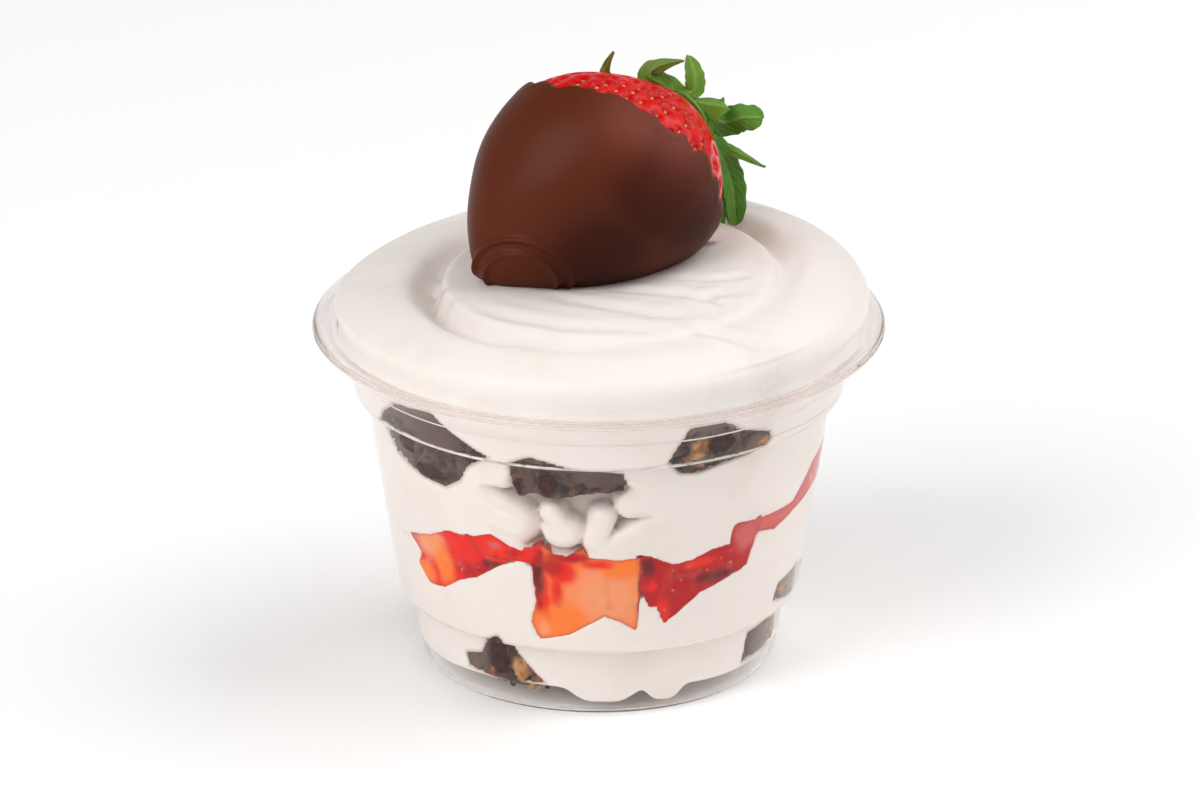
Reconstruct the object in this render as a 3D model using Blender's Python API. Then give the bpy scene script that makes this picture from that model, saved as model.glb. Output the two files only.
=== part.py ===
"""A brownie dessert cup: a clear plastic cup with layers of whipped cream, brownie pieces and
strawberry slices, a swirl of cream heaped over its rim, and a strawberry dipped in chocolate on top.

Lengths are in millimetres until the last step. The origin is on the cup's axis, on the table.
"""

import math

import bmesh
import bpy
from mathutils import Matrix, Vector, noise

MM = 0.001

# The cup, turned about Z. Each pair is a radius and a height.
CUP_HEIGHT = 60.8
CUP_WALL = 0.6
CUP_SIDES = 38
FLOOR_UNDERSIDE = ((0.0, 2.6), (24.3, 2.4), (26.2, 0.7), (27.0, 0.0))
CUP_OUTSIDE = (
    (28.9, 0.0),
    (29.7, 0.5),
    (30.2, 1.5),
    (31.2, 5.8),
    (31.7, 12.2),
    (34.4, 13.4),
    (38.7, 40.2),
    (39.7, 48.6),
    (42.0, 49.7),
    (42.9, 54.5),
    (43.6, 55.6),
    (44.7, 58.9),
)
RIM = (
    (47.9, 59.3),
    (48.8, 59.7),
    (49.0, 60.2),
    (48.5, 60.8),
    (47.5, 60.7),
    (46.8, 60.2),
    (45.6, 60.3),
    (44.8, 59.9),
)
LEDGES = (12.0, 48.4)

# Between two solids that touch in the real cup, and half of it on each side of a cut.
GAP = 0.32
HALF_GAP = 0.17

# Where one layer of cream ends and the next begins at the wall: an angle and a height.
LOWER_CREAM_TOP = (
    (-180, 29.0),
    (-152, 28.0),
    (-140, 27.0),
    (-115, 31.3),
    (-92, 29.0),
    (-72, 26.0),
    (-50, 30.0),
    (-38, 33.0),
    (-15, 37.0),
    (8, 36.5),
    (38, 29.0),
    (78, 26.5),
    (118, 28.0),
    (150, 31.0),
    (180, 29.0),
)
MIDDLE_CREAM_TOP = (
    (-180, 50.0),
    (-152, 49.5),
    (-135, 49.3),
    (-116, 49.8),
    (-98, 49.3),
    (-84, 49.3),
    (-73, 50.3),
    (-60, 51.5),
    (-46, 51.3),
    (-30, 51.0),
    (0, 50.5),
    (24, 49.4),
    (50, 50.5),
    (80, 49.4),
    (108, 50.5),
    (136, 51.0),
    (180, 50.0),
)
CREAM_SIDES = 50
CREAM_BASE = 3.55
LEDGE_REACH = 2.5

# The cream heaped over the rim: the height of its edge, how far it rises and how much higher it is at
# the back right. The mound in the middle is a centre and a radius, and the groove round it has a width
# inside and outside, and a depth for each angle. The slump is an angle, a half width in degrees and a
# depth. The fold is an angle, a height, a half width in degrees, a half height and a depth.
HEAP_RADIUS = 44.5
EDGE_HEIGHT = 64.6
SWIRL_RISE = 7.2
SWIRL_LEAN = 2.2
SWIRL_SQUARENESS = 5.0
SWIRL_RINGS = (0.0, 0.35, 0.54, 0.6, 0.635, 0.67, 0.73, 0.8, 0.88, 0.945, 0.985)
MOUND_RING = 0.67
MOUND = (0.0, -5.5, 30.0)
GROOVE_WIDTHS = (2.0, 4.6)
GROOVE_DEPTHS = (
    (-180, 4.4),
    (-150, 4.0),
    (-128, 2.4),
    (-108, 0.8),
    (-40, 0.5),
    (-10, 1.6),
    (30, 3.4),
    (110, 2.8),
    (150, 3.8),
    (180, 4.4),
)
SLUMP = (135, 45.0, 2.0)
FOLD = (-40, 64.0, 27.0, 3.0, 1.3)
LOBES = ((-87, 6.0, 2.7), (-67, 4.5, 2.6), (20, 6.0, 2.4), (130, 5.5, 2.5))

# Piped ropes of cream that show through the wall under the middle brownie: the two ends of each
# rope as an angle and a height, and its half width. They lie in a hollow: its angle, its height, its
# half width in degrees, its half height and its depth.
ROPES = (
    (-116, 38.0, -109, 34.5, 2.6),
    (-103, 42.0, -99, 34.5, 3.2),
    (-93, 34.0, -90, 41.0, 2.4),
    (-90, 41.0, -85, 36.0, 2.4),
    (-93, 33.5, -76, 41.0, 2.6),
)
HOLLOW = (-97, 38.0, 19.0, 7.0, 2.2)
HOLLOW_CROWDING = 0.55

# The outlines of the pieces against the wall, as angles and heights.
UPPER_LEFT = (
    (-143, 56.0),
    (-130.5, 57.0),
    (-126.5, 54.0),
    (-120, 51.5),
    (-116, 50.5),
    (-121.5, 48.0),
    (-125, 46.0),
    (-127, 43.5),
    (-132, 41.3),
    (-141, 41.7),
    (-151, 43.5),
    (-157, 47.0),
    (-150, 52.5),
)
UPPER_MIDDLE = (
    (-112, 50.0),
    (-106.5, 51.7),
    (-103.5, 51.3),
    (-95.5, 49.8),
    (-84, 48.2),
    (-83, 46.5),
    (-83.6, 44.6),
    (-93.5, 44.1),
    (-97, 43.5),
    (-102.5, 43.0),
    (-106, 43.7),
    (-111, 43.0),
    (-113, 48.0),
)
UPPER_RIGHT = (
    (-69.5, 57.3),
    (-61, 57.3),
    (-54.5, 54.5),
    (-46.5, 52.7),
    (-46, 51.0),
    (-49, 48.2),
    (-58, 47.5),
    (-64.5, 46.6),
    (-69.5, 47.0),
    (-74, 50.5),
    (-71, 54.5),
)
LOWER_LEFT = (
    (-137, 8.3),
    (-130, 9.3),
    (-127, 12.7),
    (-120, 14.8),
    (-116, 10.8),
    (-110.5, 7.6),
    (-106.5, 5.6),
    (-119, 4.7),
    (-128.5, 4.9),
    (-136, 5.6),
)
LOWER_RIGHT = (
    (-36, 10.6),
    (-23, 10.8),
    (-10, 9.4),
    (-2, 8.0),
    (-4, 5.4),
    (-21, 5.2),
    (-38, 4.9),
)
LOWER_SIDE = (
    (-31, 16.0),
    (-29.5, 19.2),
    (-16.5, 20.0),
    (-6, 18.5),
    (2, 16.5),
    (-4, 13.9),
    (-20, 14.4),
)
SLICE_LEFT = (
    (-152, 28.8),
    (-141, 30.7),
    (-134, 33.0),
    (-127, 33.0),
    (-122, 30.0),
    (-114, 29.9),
    (-124.5, 25.3),
    (-131, 23.6),
    (-137.5, 21.0),
    (-144.5, 20.3),
    (-149, 23.4),
    (-147, 26.0),
)
SLICE_THIN = (
    (-127, 33.0),
    (-119.5, 34.7),
    (-114, 33.0),
    (-110.5, 32.5),
    (-105.2, 33.7),
    (-104.8, 30.1),
    (-114, 29.9),
    (-122, 30.0),
)
SLICE_MIDDLE = (
    (-105.2, 33.7),
    (-102.4, 32.2),
    (-98.6, 32.0),
    (-93.9, 33.5),
    (-92.4, 32.0),
    (-84.5, 31.5),
    (-79, 31.7),
    (-78.5, 25.0),
    (-79, 17.0),
    (-84, 19.1),
    (-88.5, 20.2),
    (-98, 16.5),
    (-107, 15.2),
    (-109.4, 18.5),
    (-107.5, 22.8),
    (-108.4, 29.9),
    (-104.8, 30.1),
)
SLICE_RIGHT = (
    (-79, 31.7),
    (-77, 32.1),
    (-70, 29.8),
    (-65, 30.1),
    (-59, 31.4),
    (-53, 31.6),
    (-52.5, 35.4),
    (-43.8, 34.7),
    (-43.1, 32.0),
    (-46, 26.0),
    (-61, 23.1),
    (-68, 19.6),
    (-71.6, 18.0),
    (-74, 21.6),
    (-76.2, 21.7),
    (-78.5, 25.0),
)
SLICE_STRIP = (
    (-43.8, 34.7),
    (-29, 34.7),
    (-18.5, 40.0),
    (-8, 41.5),
    (4, 40.0),
    (8, 35.5),
    (-4, 34.2),
    (-13.6, 34.2),
    (-28, 32.3),
    (-36, 30.9),
    (-43.1, 32.0),
)

# The pieces at the back repeat those outlines: the outline, how far it is turned in degrees, whether
# it is mirrored first, and how deep the piece is.
BROWNIES_UPPER = (
    (UPPER_LEFT, 0, False, 11.0),
    (UPPER_MIDDLE, 0, False, 9.0),
    (UPPER_RIGHT, 0, False, 10.0),
    (UPPER_MIDDLE, 122, False, 9.5),
    (UPPER_LEFT, -57, True, 10.5),
    (UPPER_RIGHT, 76, True, 10.0),
)
BROWNIES_LOWER = (
    (LOWER_LEFT, 0, False, 9.0),
    (LOWER_RIGHT, 0, False, 8.0),
    (LOWER_SIDE, 0, False, 7.0),
    (LOWER_LEFT, -73, True, 9.0),
    (LOWER_LEFT, 221, False, 8.5),
    (LOWER_RIGHT, 172, False, 8.0),
)
SLICES = (
    (SLICE_LEFT, 0, False, 7.0),
    (SLICE_THIN, 0, False, 6.0),
    (SLICE_MIDDLE, 0, False, 8.0),
    (SLICE_RIGHT, 0, False, 7.0),
    (SLICE_STRIP, 0, False, 5.0),
    (SLICE_RIGHT, -26, True, 7.0),
    (SLICE_MIDDLE, 171, False, 8.0),
    (SLICE_LEFT, -15, True, 7.0),
    (SLICE_THIN, 276, False, 6.0),
)
PLAN_RADIUS = 36.0
PLAN_STEP = 4.2
BROWNIE_RELIEF = 0.9
SLICE_RELIEF = 0.25
BACK_TAPER = 0.82
POCKET_MOUTH = 6.0

# The strawberry lies on the cream with its tip towards the viewer's left. The chocolate's edge is given
# by how far up the axis it is at each angle round the strawberry.
BERRY_TIP = (-20.6, -8.0, 72.4)
BERRY_AXIS = (36.0, 21.6, 21.0)
BERRY_LENGTH = 48.6
BERRY_RADIUS = 19.8
BERRY_UPPER_SIDE = math.radians(56)
HUMP_SIDE = math.radians(78)
HUMP_PLACE = 31.0
HUMP_LENGTH = 9.5
HUMP_RISE = 1.1
BERRY_ROWS = 12
BERRY_SIDES = 22
COAT_THICKNESS = 1.1
COAT_GAP = 0.5
COAT_ROWS = 10
DIP_LINE = (
    (-180, 41.0),
    (-165, 40.2),
    (-120, 38.5),
    (-60, 36.0),
    (-20, 32.0),
    (20, 29.0),
    (60, 26.8),
    (80, 27.3),
    (92, 28.3),
    (101, 30.2),
    (107, 32.4),
    (117, 34.2),
    (126, 35.8),
    (140, 36.6),
    (150, 38.2),
    (158, 39.0),
    (166, 39.6),
    (172, 40.7),
    (180, 41.0),
)
DIP_SCALLOP = 0.6

# Each leaf of the green top, in order round the stalk: the points that its middle runs through after
# its foot, its width, and the direction in which it shows its face. The feet are spread evenly, from
# the first one's angle.
LEAVES = (
    (((10.8, 19.6, 93.4), (5.4, 19.6, 95.2), (1.4, 17.2, 98.4), (1.3, 16.0, 101.2), (2.4, 16.0, 103.6)), 2.2, (0, -1, 0.35)),
    (((11.8, 16.6, 96.7), (9.2, 15.8, 98.5), (8.8, 15.8, 99.8), (10.8, 15.3, 101.3), (14.5, 15.0, 102.2)), 4.4, (0, -1, 0.35)),
    (((16.3, 13.0, 97.6), (16.3, 13.0, 100.3), (15.4, 14.0, 103.5)), 3.1, (0, -1, 0.35)),
    (((18.5, 12.0, 95.4), (20.6, 11.0, 95.5), (22.3, 11.0, 94.9)), 4.2, (0, -0.7, 0.7)),
    (((21.0, 14.6, 91.2), (24.2, 14.0, 92.2), (28.0, 13.0, 92.6)), 4.6, (0, -1, 0.5)),
    (((21.0, 16.0, 86.4), (23.8, 16.0, 85.0), (28.5, 15.0, 82.7)), 3.0, (0, -0.8, 0.6)),
    (((21.4, 16.0, 83.6), (23.0, 15.6, 78.4), (23.4, 16.0, 71.7)), 4.6, (0.5, -0.85, 0.2)),
    (((19.5, 17.0, 81.5), (20.4, 17.4, 76.0), (20.6, 17.8, 70.3)), 3.2, (0.4, -0.9, 0.2)),
    (((17.3, 18.0, 88.2), (17.6, 20.5, 83.4)), 4.4, (0.7, 0.6, 0.3)),
    (((15.0, 19.5, 90.3), (12.5, 22.6, 87.3), (10.6, 25.6, 84.0)), 4.6, (0.5, 0.8, 0.4)),
    (((14.2, 19.0, 93.4), (12.4, 22.8, 93.4), (10.9, 26.4, 93.0)), 4.4, (0.3, 0.5, 0.8)),
)
FIRST_FOOT = 30
HUB_RADIUS = 3.4
LEAF_THICKNESS = 0.5
LEAF_STEPS = 6


def clear_scene():
    for item in list(bpy.data.objects):
        bpy.data.objects.remove(item, do_unlink=True)


def material(name, colour, roughness, transmission=0.0):
    made = bpy.data.materials.new(name)
    made.use_nodes = True
    shader = made.node_tree.nodes["Principled BSDF"]
    shader.inputs["Base Color"].default_value = (*colour, 1.0)
    shader.inputs["Roughness"].default_value = roughness
    shader.inputs["Transmission Weight"].default_value = transmission
    return made


def finish(name, mesh, finish_material, smooth_angle=40):
    """Turns a bmesh in millimetres into a named object in metres."""
    bmesh.ops.scale(mesh, vec=(MM, MM, MM), verts=mesh.verts)
    bmesh.ops.recalc_face_normals(mesh, faces=mesh.faces)
    data = bpy.data.meshes.new(name)
    mesh.to_mesh(data)
    mesh.free()
    data.shade_smooth()
    data.set_sharp_from_angle(angle=math.radians(smooth_angle))
    made = bpy.data.objects.new(name, data)
    bpy.context.scene.collection.objects.link(made)
    if finish_material:
        data.materials.append(finish_material)
    return made


def between(pairs, x):
    """Reads a smooth curve through the pairs at x."""
    if x <= pairs[0][0]:
        return pairs[0][1]
    for (x0, y0), (x1, y1) in zip(pairs, pairs[1:]):
        if x <= x1:
            share = (x - x0) / (x1 - x0)
            return y0 + (y1 - y0) * (3 - 2 * share) * share * share
    return pairs[-1][1]


def straight(pairs, x):
    """Reads straight lines through the pairs at x."""
    for (x0, y0), (x1, y1) in zip(pairs, pairs[1:]):
        if x <= x1:
            return y0 + (y1 - y0) * max(x - x0, 0.0) / (x1 - x0)
    return pairs[-1][1]


def inset_profile(points, by):
    """The line that runs inside a profile at one wall thickness."""
    moved = []
    last = len(points) - 1
    for i, (r, z) in enumerate(points):
        r0, z0 = points[max(i - 1, 0)]
        r1, z1 = points[min(i + 1, last)]
        length = math.hypot(r1 - r0, z1 - z0)
        moved.append((max(r - by * (z1 - z0) / length, 0.0), z + by * (r1 - r0) / length))
    return moved


CUP_INSIDE = inset_profile(FLOOR_UNDERSIDE + CUP_OUTSIDE, CUP_WALL)
WALL_LINE = tuple((z, r) for r, z in CUP_INSIDE[len(FLOOR_UNDERSIDE) + 1 :])
WALL_TOP = WALL_LINE[-1][0]


def wall_radius(height):
    return straight(WALL_LINE, height)


def wall_rows(low, high):
    """The heights between low and high at which the inside of the wall changes its slope."""
    return tuple(z for z, _ in WALL_LINE if low < z < high)


def spun(profile, sides, merge=0.01):
    """A closed shape turned about Z from a line that starts and ends on the axis."""
    mesh = bmesh.new()
    line = [mesh.verts.new((r, 0.0, z)) for r, z in profile]
    edges = [mesh.edges.new(pair) for pair in zip(line, line[1:])]
    bmesh.ops.spin(
        mesh,
        geom=line + edges,
        cent=(0, 0, 0),
        axis=(0, 0, 1),
        angle=math.tau,
        steps=sides,
        use_merge=True,
    )
    bmesh.ops.remove_doubles(mesh, verts=mesh.verts, dist=merge)
    return mesh


def build_cup():
    profile = FLOOR_UNDERSIDE + CUP_OUTSIDE + RIM + tuple(reversed(CUP_INSIDE))
    clear = material("clear_plastic", (0.9, 0.9, 0.9), 0.05, 0.9)
    return finish("cup", spun(profile, CUP_SIDES), clear, 30)


def angle_distance(a, b):
    return (a - b + 180) % 360 - 180


def rope_cover(angle, height):
    """How far the ropes of cream fill the hollow at a point of the wall, from 0 to 1."""
    best = 0.0
    for a0, z0, a1, z1, half in ROPES:
        scale = math.radians(1) * PLAN_RADIUS
        start = Vector((angle_distance(a0, angle) * scale, z0 - height))
        run = Vector((a1 - a0, 0)) * scale + Vector((0, z1 - z0))
        share = min(max(-start.dot(run) / run.length_squared, 0.0), 1.0)
        away = (start + run * share).length / half
        best = max(best, 1 - away * away)
    return best


def hollow_depth(angle, height):
    """How far the middle cream stands back from the wall."""
    a0, z0, wide, high, depth = HOLLOW
    across = angle_distance(angle, a0) / wide
    up = (height - z0) / high
    share = 1 - across * across - up * up
    if share <= 0:
        return 0.0
    return depth * min(2.5 * share, 1.0) * (1 - rope_cover(angle, height))


def cream_puck(sides, base_rings, wall_rows, top_rings):
    """A unit puck whose rings are later shaped: X and Y hold the share of the radius, and Z counts the
    marks passed on the way up the wall, with wall_rows rows before each mark.
    """
    profile = [(share, 0.0) for share in base_rings]
    for mark, rows in enumerate(wall_rows):
        profile += [(1.0, mark + step / rows) for step in range(rows)]
    marks = float(len(wall_rows))
    profile.append((1.0, marks))
    profile += [(share, marks) for share in reversed(top_rings)]
    return spun(profile, sides, 1e-4)


def height_at(low, high, marks, count):
    """The height of a row: marks are the fixed heights between low and high, and count is how many of
    them are passed.
    """
    last = len(marks) + 1
    stops = [low, *marks, high]
    stops = [min(max(z, low + 0.06 * i), high - 0.06 * (last - i)) for i, z in enumerate(stops)]
    below = min(int(count), last - 1)
    return stops[below] + (stops[below + 1] - stops[below]) * (count - below)


def shaped_cream(name, puck, base, top, marks, recess, finish_material):
    """Moves each point of a puck between its base and its top, out to the wall."""
    for vert in puck.verts:
        share = min(math.hypot(vert.co.x, vert.co.y), 1.0)
        angle = math.degrees(math.atan2(vert.co.y, vert.co.x)) if share > 1e-6 else 0.0
        share = along_mound(angle, share)
        height = height_at(base(angle, share), top(angle, share), marks, vert.co.z)
        reach = wall_radius(min(height, WALL_TOP)) - GAP + heap_reach(angle, height)
        radius = share * (reach - recess(angle, height) * share)
        turn = math.radians(angle)
        vert.co = (radius * math.cos(turn), radius * math.sin(turn), height)
    return finish(name, puck, finish_material, 60)


def lower_base(angle, share):
    """The underside rests on the raised floor and hangs in lobes into the groove by the wall."""
    edge = max((share - 0.86) / 0.14, 0.0)
    hang = sum(
        drop * math.exp(-((angle_distance(angle, at) / wide) ** 2)) for at, wide, drop in LOBES
    )
    lift = 1.5 + 0.5 * math.sin(math.radians(angle * 3 + 40))
    return CREAM_BASE + edge * (lift - hang)


def layer_top(levels, middle):
    def height(angle, share):
        return middle + (between(levels, angle) - middle) * share * share

    return height


LOWER_TOP = layer_top(LOWER_CREAM_TOP, 30.0)
MIDDLE_TOP = layer_top(MIDDLE_CREAM_TOP, 50.0)


def mound_edge(angle):
    """How far from the cup's axis the edge of the inner mound is."""
    turn = math.radians(angle)
    ahead = MOUND[0] * math.cos(turn) + MOUND[1] * math.sin(turn)
    aside = MOUND[0] * math.sin(turn) - MOUND[1] * math.cos(turn)
    return ahead + math.sqrt(MOUND[2] ** 2 - aside**2)


def along_mound(angle, share):
    """Shifts the rings of a puck so that one of them runs along the edge of the inner mound."""
    shift = mound_edge(angle) / HEAP_RADIUS - MOUND_RING
    weight = share / MOUND_RING if share < MOUND_RING else (1 - share) / (1 - MOUND_RING)
    return share + shift * weight


def swirl(angle, share):
    """The height of the heaped cream: a broad ring, a groove round an inner mound, and the mound."""
    turn = math.radians(angle)
    edge = (1 - share**SWIRL_SQUARENESS) ** 0.6
    ring = EDGE_HEIGHT + SWIRL_RISE * edge + SWIRL_LEAN * math.cos(turn - 0.4) * share * edge
    ring += 0.4 * math.sin(3 * turn + 0.4) * share * edge
    ring -= SLUMP[2] * share**2 * math.exp(-((angle_distance(angle, SLUMP[0]) / SLUMP[1]) ** 2))
    outside = HEAP_RADIUS * share - mound_edge(angle)
    width = GROOVE_WIDTHS[0] if outside < 0 else GROOVE_WIDTHS[1]
    groove = between(GROOVE_DEPTHS, angle) * math.exp(-((outside / width) ** 2))
    hollow = 3.0 * math.exp(-((share / 0.3) ** 2))
    return ring - groove - hollow


def heap_reach(angle, height):
    """How far the cream stands out past the wall above the rim."""
    turn = math.radians(angle)
    over = min(max((height - CUP_HEIGHT - 0.2) / 3.5, 0.0), 1.0)
    bulge = 1.5 + 0.5 * math.cos(turn) + 0.8 * math.sin(turn)
    return bulge * math.sin(over * math.pi / 2)


def fold_depth(angle, height):
    """The shaded fold over the rim at the viewer's right, under a lip of cream."""
    a0, z0, wide, high, depth = FOLD
    across = angle_distance(angle, a0) / wide
    up = (height - z0 - 0.09 * angle_distance(a0, angle)) / high
    return depth * max(1 - across * across, 0.0) * max(1 - up * up, 0.0)


def no_recess(angle, height):
    return 0.0


def crowd(puck, angle, share):
    """Moves the columns of a puck closer together round one angle."""
    for vert in puck.verts:
        radius = math.hypot(vert.co.x, vert.co.y)
        turn = math.atan2(vert.co.y, vert.co.x)
        turn -= share * math.sin(turn - math.radians(angle))
        vert.co.x = radius * math.cos(turn)
        vert.co.y = radius * math.sin(turn)
    return puck


def placed(outline, turn, mirrored):
    """An outline turned about the cup, after a mirror where one is asked for."""
    if mirrored:
        outline = [(-angle, height) for angle, height in reversed(outline)]
    return [(angle + turn, height) for angle, height in outline]


def plan_points(outline, grow):
    """The outline flat on paper, in millimetres, moved out by grow."""
    flat = [Vector((math.radians(angle) * PLAN_RADIUS, height)) for angle, height in outline]
    area = sum(a.x * b.y - b.x * a.y for a, b in zip(flat, flat[1:] + flat[:1]))
    side = 1 if area > 0 else -1
    grown = []
    for i, here in enumerate(flat):
        into = (here - flat[i - 1]).normalized()
        out = (flat[(i + 1) % len(flat)] - here).normalized()
        first = Vector((into.y, -into.x)) * side
        second = Vector((out.y, -out.x)) * side
        both = (first + second) / max(1 + first.dot(second), 0.5)
        grown.append(here + both * grow)
    return grown


def block(points, depths):
    """A flat-sided block that has the points as its outline, cut by a square grid, with a ring of
    points at each depth.
    """
    mesh = bmesh.new()
    mesh.faces.new([mesh.verts.new((p.x, depths[0], p.y)) for p in points])
    for axis in ((1, 0, 0), (0, 0, 1)):
        places = [Vector(axis).dot(vert.co) for vert in mesh.verts]
        step = math.ceil(min(places) / PLAN_STEP) * PLAN_STEP
        while step < max(places):
            if min(abs(step - place) for place in places) > 0.3:
                geometry = mesh.verts[:] + mesh.edges[:] + mesh.faces[:]
                cut_at = Vector(axis) * step
                bmesh.ops.bisect_plane(mesh, geom=geometry, plane_co=cut_at, plane_no=axis)
            step += PLAN_STEP
    bmesh.ops.triangulate(mesh, faces=mesh.faces)
    faces = mesh.faces[:]
    for depth in depths[1:]:
        made = bmesh.ops.extrude_face_region(mesh, geom=faces, use_keep_orig=True)
        for item in made["geom"]:
            if isinstance(item, bmesh.types.BMVert):
                item.co.y = depth
        if depth != depths[1]:
            bmesh.ops.delete(mesh, geom=faces, context="FACES")
        faces = [item for item in made["geom"] if isinstance(item, bmesh.types.BMFace)]
    return mesh


def bend_to_wall(mesh, centre, depth, relief, seed):
    """Wraps a flat block round the inside of the wall and roughens it. Its front stays upright where
    the wall steps out above the ledge over it.
    """
    lowest = min(vert.co.z for vert in mesh.verts)
    ceiling = next(ledge for ledge in LEDGES if lowest < ledge)
    for vert in mesh.verts:
        x, y, z = vert.co
        inwards = min(max(y / depth, 0.0), 1.0)
        taper = 1 - (1 - BACK_TAPER) * inwards
        x = centre.x + (x - centre.x) * taper
        z = centre.y + (z - centre.y) * taper
        rough = noise.noise(Vector((x * 0.35 + seed, z * 0.4, y * 0.3))) * 0.5 + 0.5
        radius = wall_radius(min(z, ceiling)) - GAP - y
        radius += relief * (rough * (2 * inwards - 1) if y >= 0 else 0.0)
        turn = x / PLAN_RADIUS
        vert.co = (radius * math.cos(turn), radius * math.sin(turn), z)


def outline_centre(points):
    return sum(points, Vector((0, 0))) / len(points)


def wall_piece(name, outline, depth, relief, seed, finish_material):
    points = plan_points(outline, -HALF_GAP)
    mesh = block(points, (0.0, depth))
    bend_to_wall(mesh, outline_centre(points), depth, relief, seed)
    return finish(name, mesh, finish_material, 35)


def pocket(name, outline, depth, relief):
    """The space that a piece takes out of the cream, open towards the wall."""
    points = plan_points(outline, HALF_GAP)
    reach = depth + relief + GAP
    mesh = block(points, (-POCKET_MOUTH, 0.0, reach))
    bend_to_wall(mesh, outline_centre(points), reach, 0.0, 0)
    made = finish(name, mesh, None)
    made.hide_render = True
    made.display_type = "WIRE"
    return made


def cut(target, cutters):
    """Takes the cutters out of the target, and then removes them."""
    for cutter in cutters:
        modifier = target.modifiers.new("pocket", "BOOLEAN")
        modifier.operation = "DIFFERENCE"
        modifier.object = cutter
    graph = bpy.context.evaluated_depsgraph_get()
    result = bpy.data.meshes.new_from_object(target.evaluated_get(graph))
    target.modifiers.clear()
    target.data = result


def build_pieces(kind, pieces, relief, finish_material):
    """Makes the pieces of one kind and the pockets that they need."""
    pockets = []
    for number, (outline, turn, mirrored, depth) in enumerate(pieces, 1):
        outline = placed(outline, turn, mirrored)
        name = f"{kind}_{number}"
        wall_piece(name, outline, depth, relief, number * 3.7, finish_material)
        pockets.append(pocket(name + "_pocket", outline, depth, relief))
    return pockets


def berry_frame():
    """Turns the strawberry's own frame, with its tip at the origin and its axis up, into place."""
    axis = Vector(BERRY_AXIS).normalized()
    across = Vector((0, 0, 1)).cross(axis).normalized()
    up = axis.cross(across)
    turn = Matrix((across, up, axis)).transposed().to_4x4()
    return Matrix.Translation(BERRY_TIP) @ turn


def berry_radius(along, turn):
    """The strawberry is fullest near its tip on the upper side, and near its shoulder underneath."""
    side = math.cos(turn - BERRY_UPPER_SIDE)
    widest = 0.59 - 0.09 * side
    share = min(max(along / BERRY_LENGTH, 0.0), 1.0)
    bulge = math.sin(math.pi * share ** (math.log(0.5) / math.log(widest)))
    power = 0.52 + 0.18 * side if share < widest else 0.55 + 0.05 * side
    hump = HUMP_RISE * math.exp(-(((along - HUMP_PLACE) / HUMP_LENGTH) ** 2))
    return BERRY_RADIUS * max(bulge, 0.0) ** power + hump * max(math.cos(turn - HUMP_SIDE), 0.0) ** 2


def berry_point(along, turn, inset):
    """A point on the surface, drawn in at right angles by inset, in the strawberry's own frame."""
    step = 0.05
    if along < step:
        return Vector((0, 0, inset))
    if along > BERRY_LENGTH - step:
        return Vector((0, 0, BERRY_LENGTH - inset))
    fall = berry_radius(along - step, turn) - berry_radius(along + step, turn)
    slope = Vector((2 * step, fall)).normalized()
    radius = max(berry_radius(along, turn) - inset * slope.x, 0.0)
    return Vector((radius * math.cos(turn), radius * math.sin(turn), along - inset * slope.y))


def berry_body(inset):
    """The whole strawberry, drawn in by inset, in place."""
    line = [(math.sin(math.pi * row / BERRY_ROWS), row) for row in range(BERRY_ROWS + 1)]
    mesh = spun([(r if 0 < row < BERRY_ROWS else 0.0, row) for r, row in line], BERRY_SIDES)
    frame = berry_frame()
    for vert in mesh.verts:
        along = BERRY_LENGTH * (1 - math.cos(math.pi * vert.co.z / BERRY_ROWS)) / 2
        vert.co = frame @ berry_point(along, math.atan2(vert.co.y, vert.co.x), inset)
    return mesh


def dip_line(turn):
    """How far up the axis the chocolate reaches on one side of the strawberry."""
    return between(DIP_LINE, math.degrees(turn)) + DIP_SCALLOP * math.sin(turn * 11)


def build_coat(finish_material):
    """A thin shell of chocolate from the tip up to a scalloped line."""
    outer = [step / COAT_ROWS for step in range(COAT_ROWS + 1)]
    line = [(share, 0.0) for share in outer] + [(share, 1.0) for share in reversed(outer)]
    mesh = spun(line, BERRY_SIDES)
    frame = berry_frame()
    for vert in mesh.verts:
        share = min(math.hypot(vert.co.x, vert.co.y), 1.0)
        turn = math.atan2(vert.co.y, vert.co.x)
        along = share**1.25 * dip_line(turn)
        vert.co = frame @ berry_point(along, turn, COAT_THICKNESS * vert.co.z)
    return finish("chocolate_coat", mesh, finish_material, 50)


def hub_frame():
    """Turns the frame of the disc in the middle of the leaves into place."""
    return berry_frame() @ Matrix.Translation((0, 0, BERRY_LENGTH - COAT_THICKNESS + GAP))


def leaf_foot(number):
    """Where a leaf starts at the edge of the disc, and the direction along that edge."""
    turn = math.radians(FIRST_FOOT + number * 360 / len(LEAVES))
    hub = hub_frame()
    start = hub @ Vector((HUB_RADIUS * math.cos(turn), HUB_RADIUS * math.sin(turn), 0))
    return start, hub.to_3x3() @ Vector((-math.sin(turn), math.cos(turn), 0))


def along_curve(points, share):
    """A point on the smooth curve through the points, at a share of its length."""
    last = len(points) - 1
    place = min(max(share, 0.0), 1.0) * last
    i = min(int(place), last - 1)
    t = place - i
    before, start, end = points[max(i - 1, 0)], points[i], points[i + 1]
    after = points[min(i + 2, last)]
    curve = start * 2 + (end - before) * t + (before * 2 - start * 5 + end * 4 - after) * t**2
    return (curve + (start * 3 - before - end * 3 + after) * t**3) / 2


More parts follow.
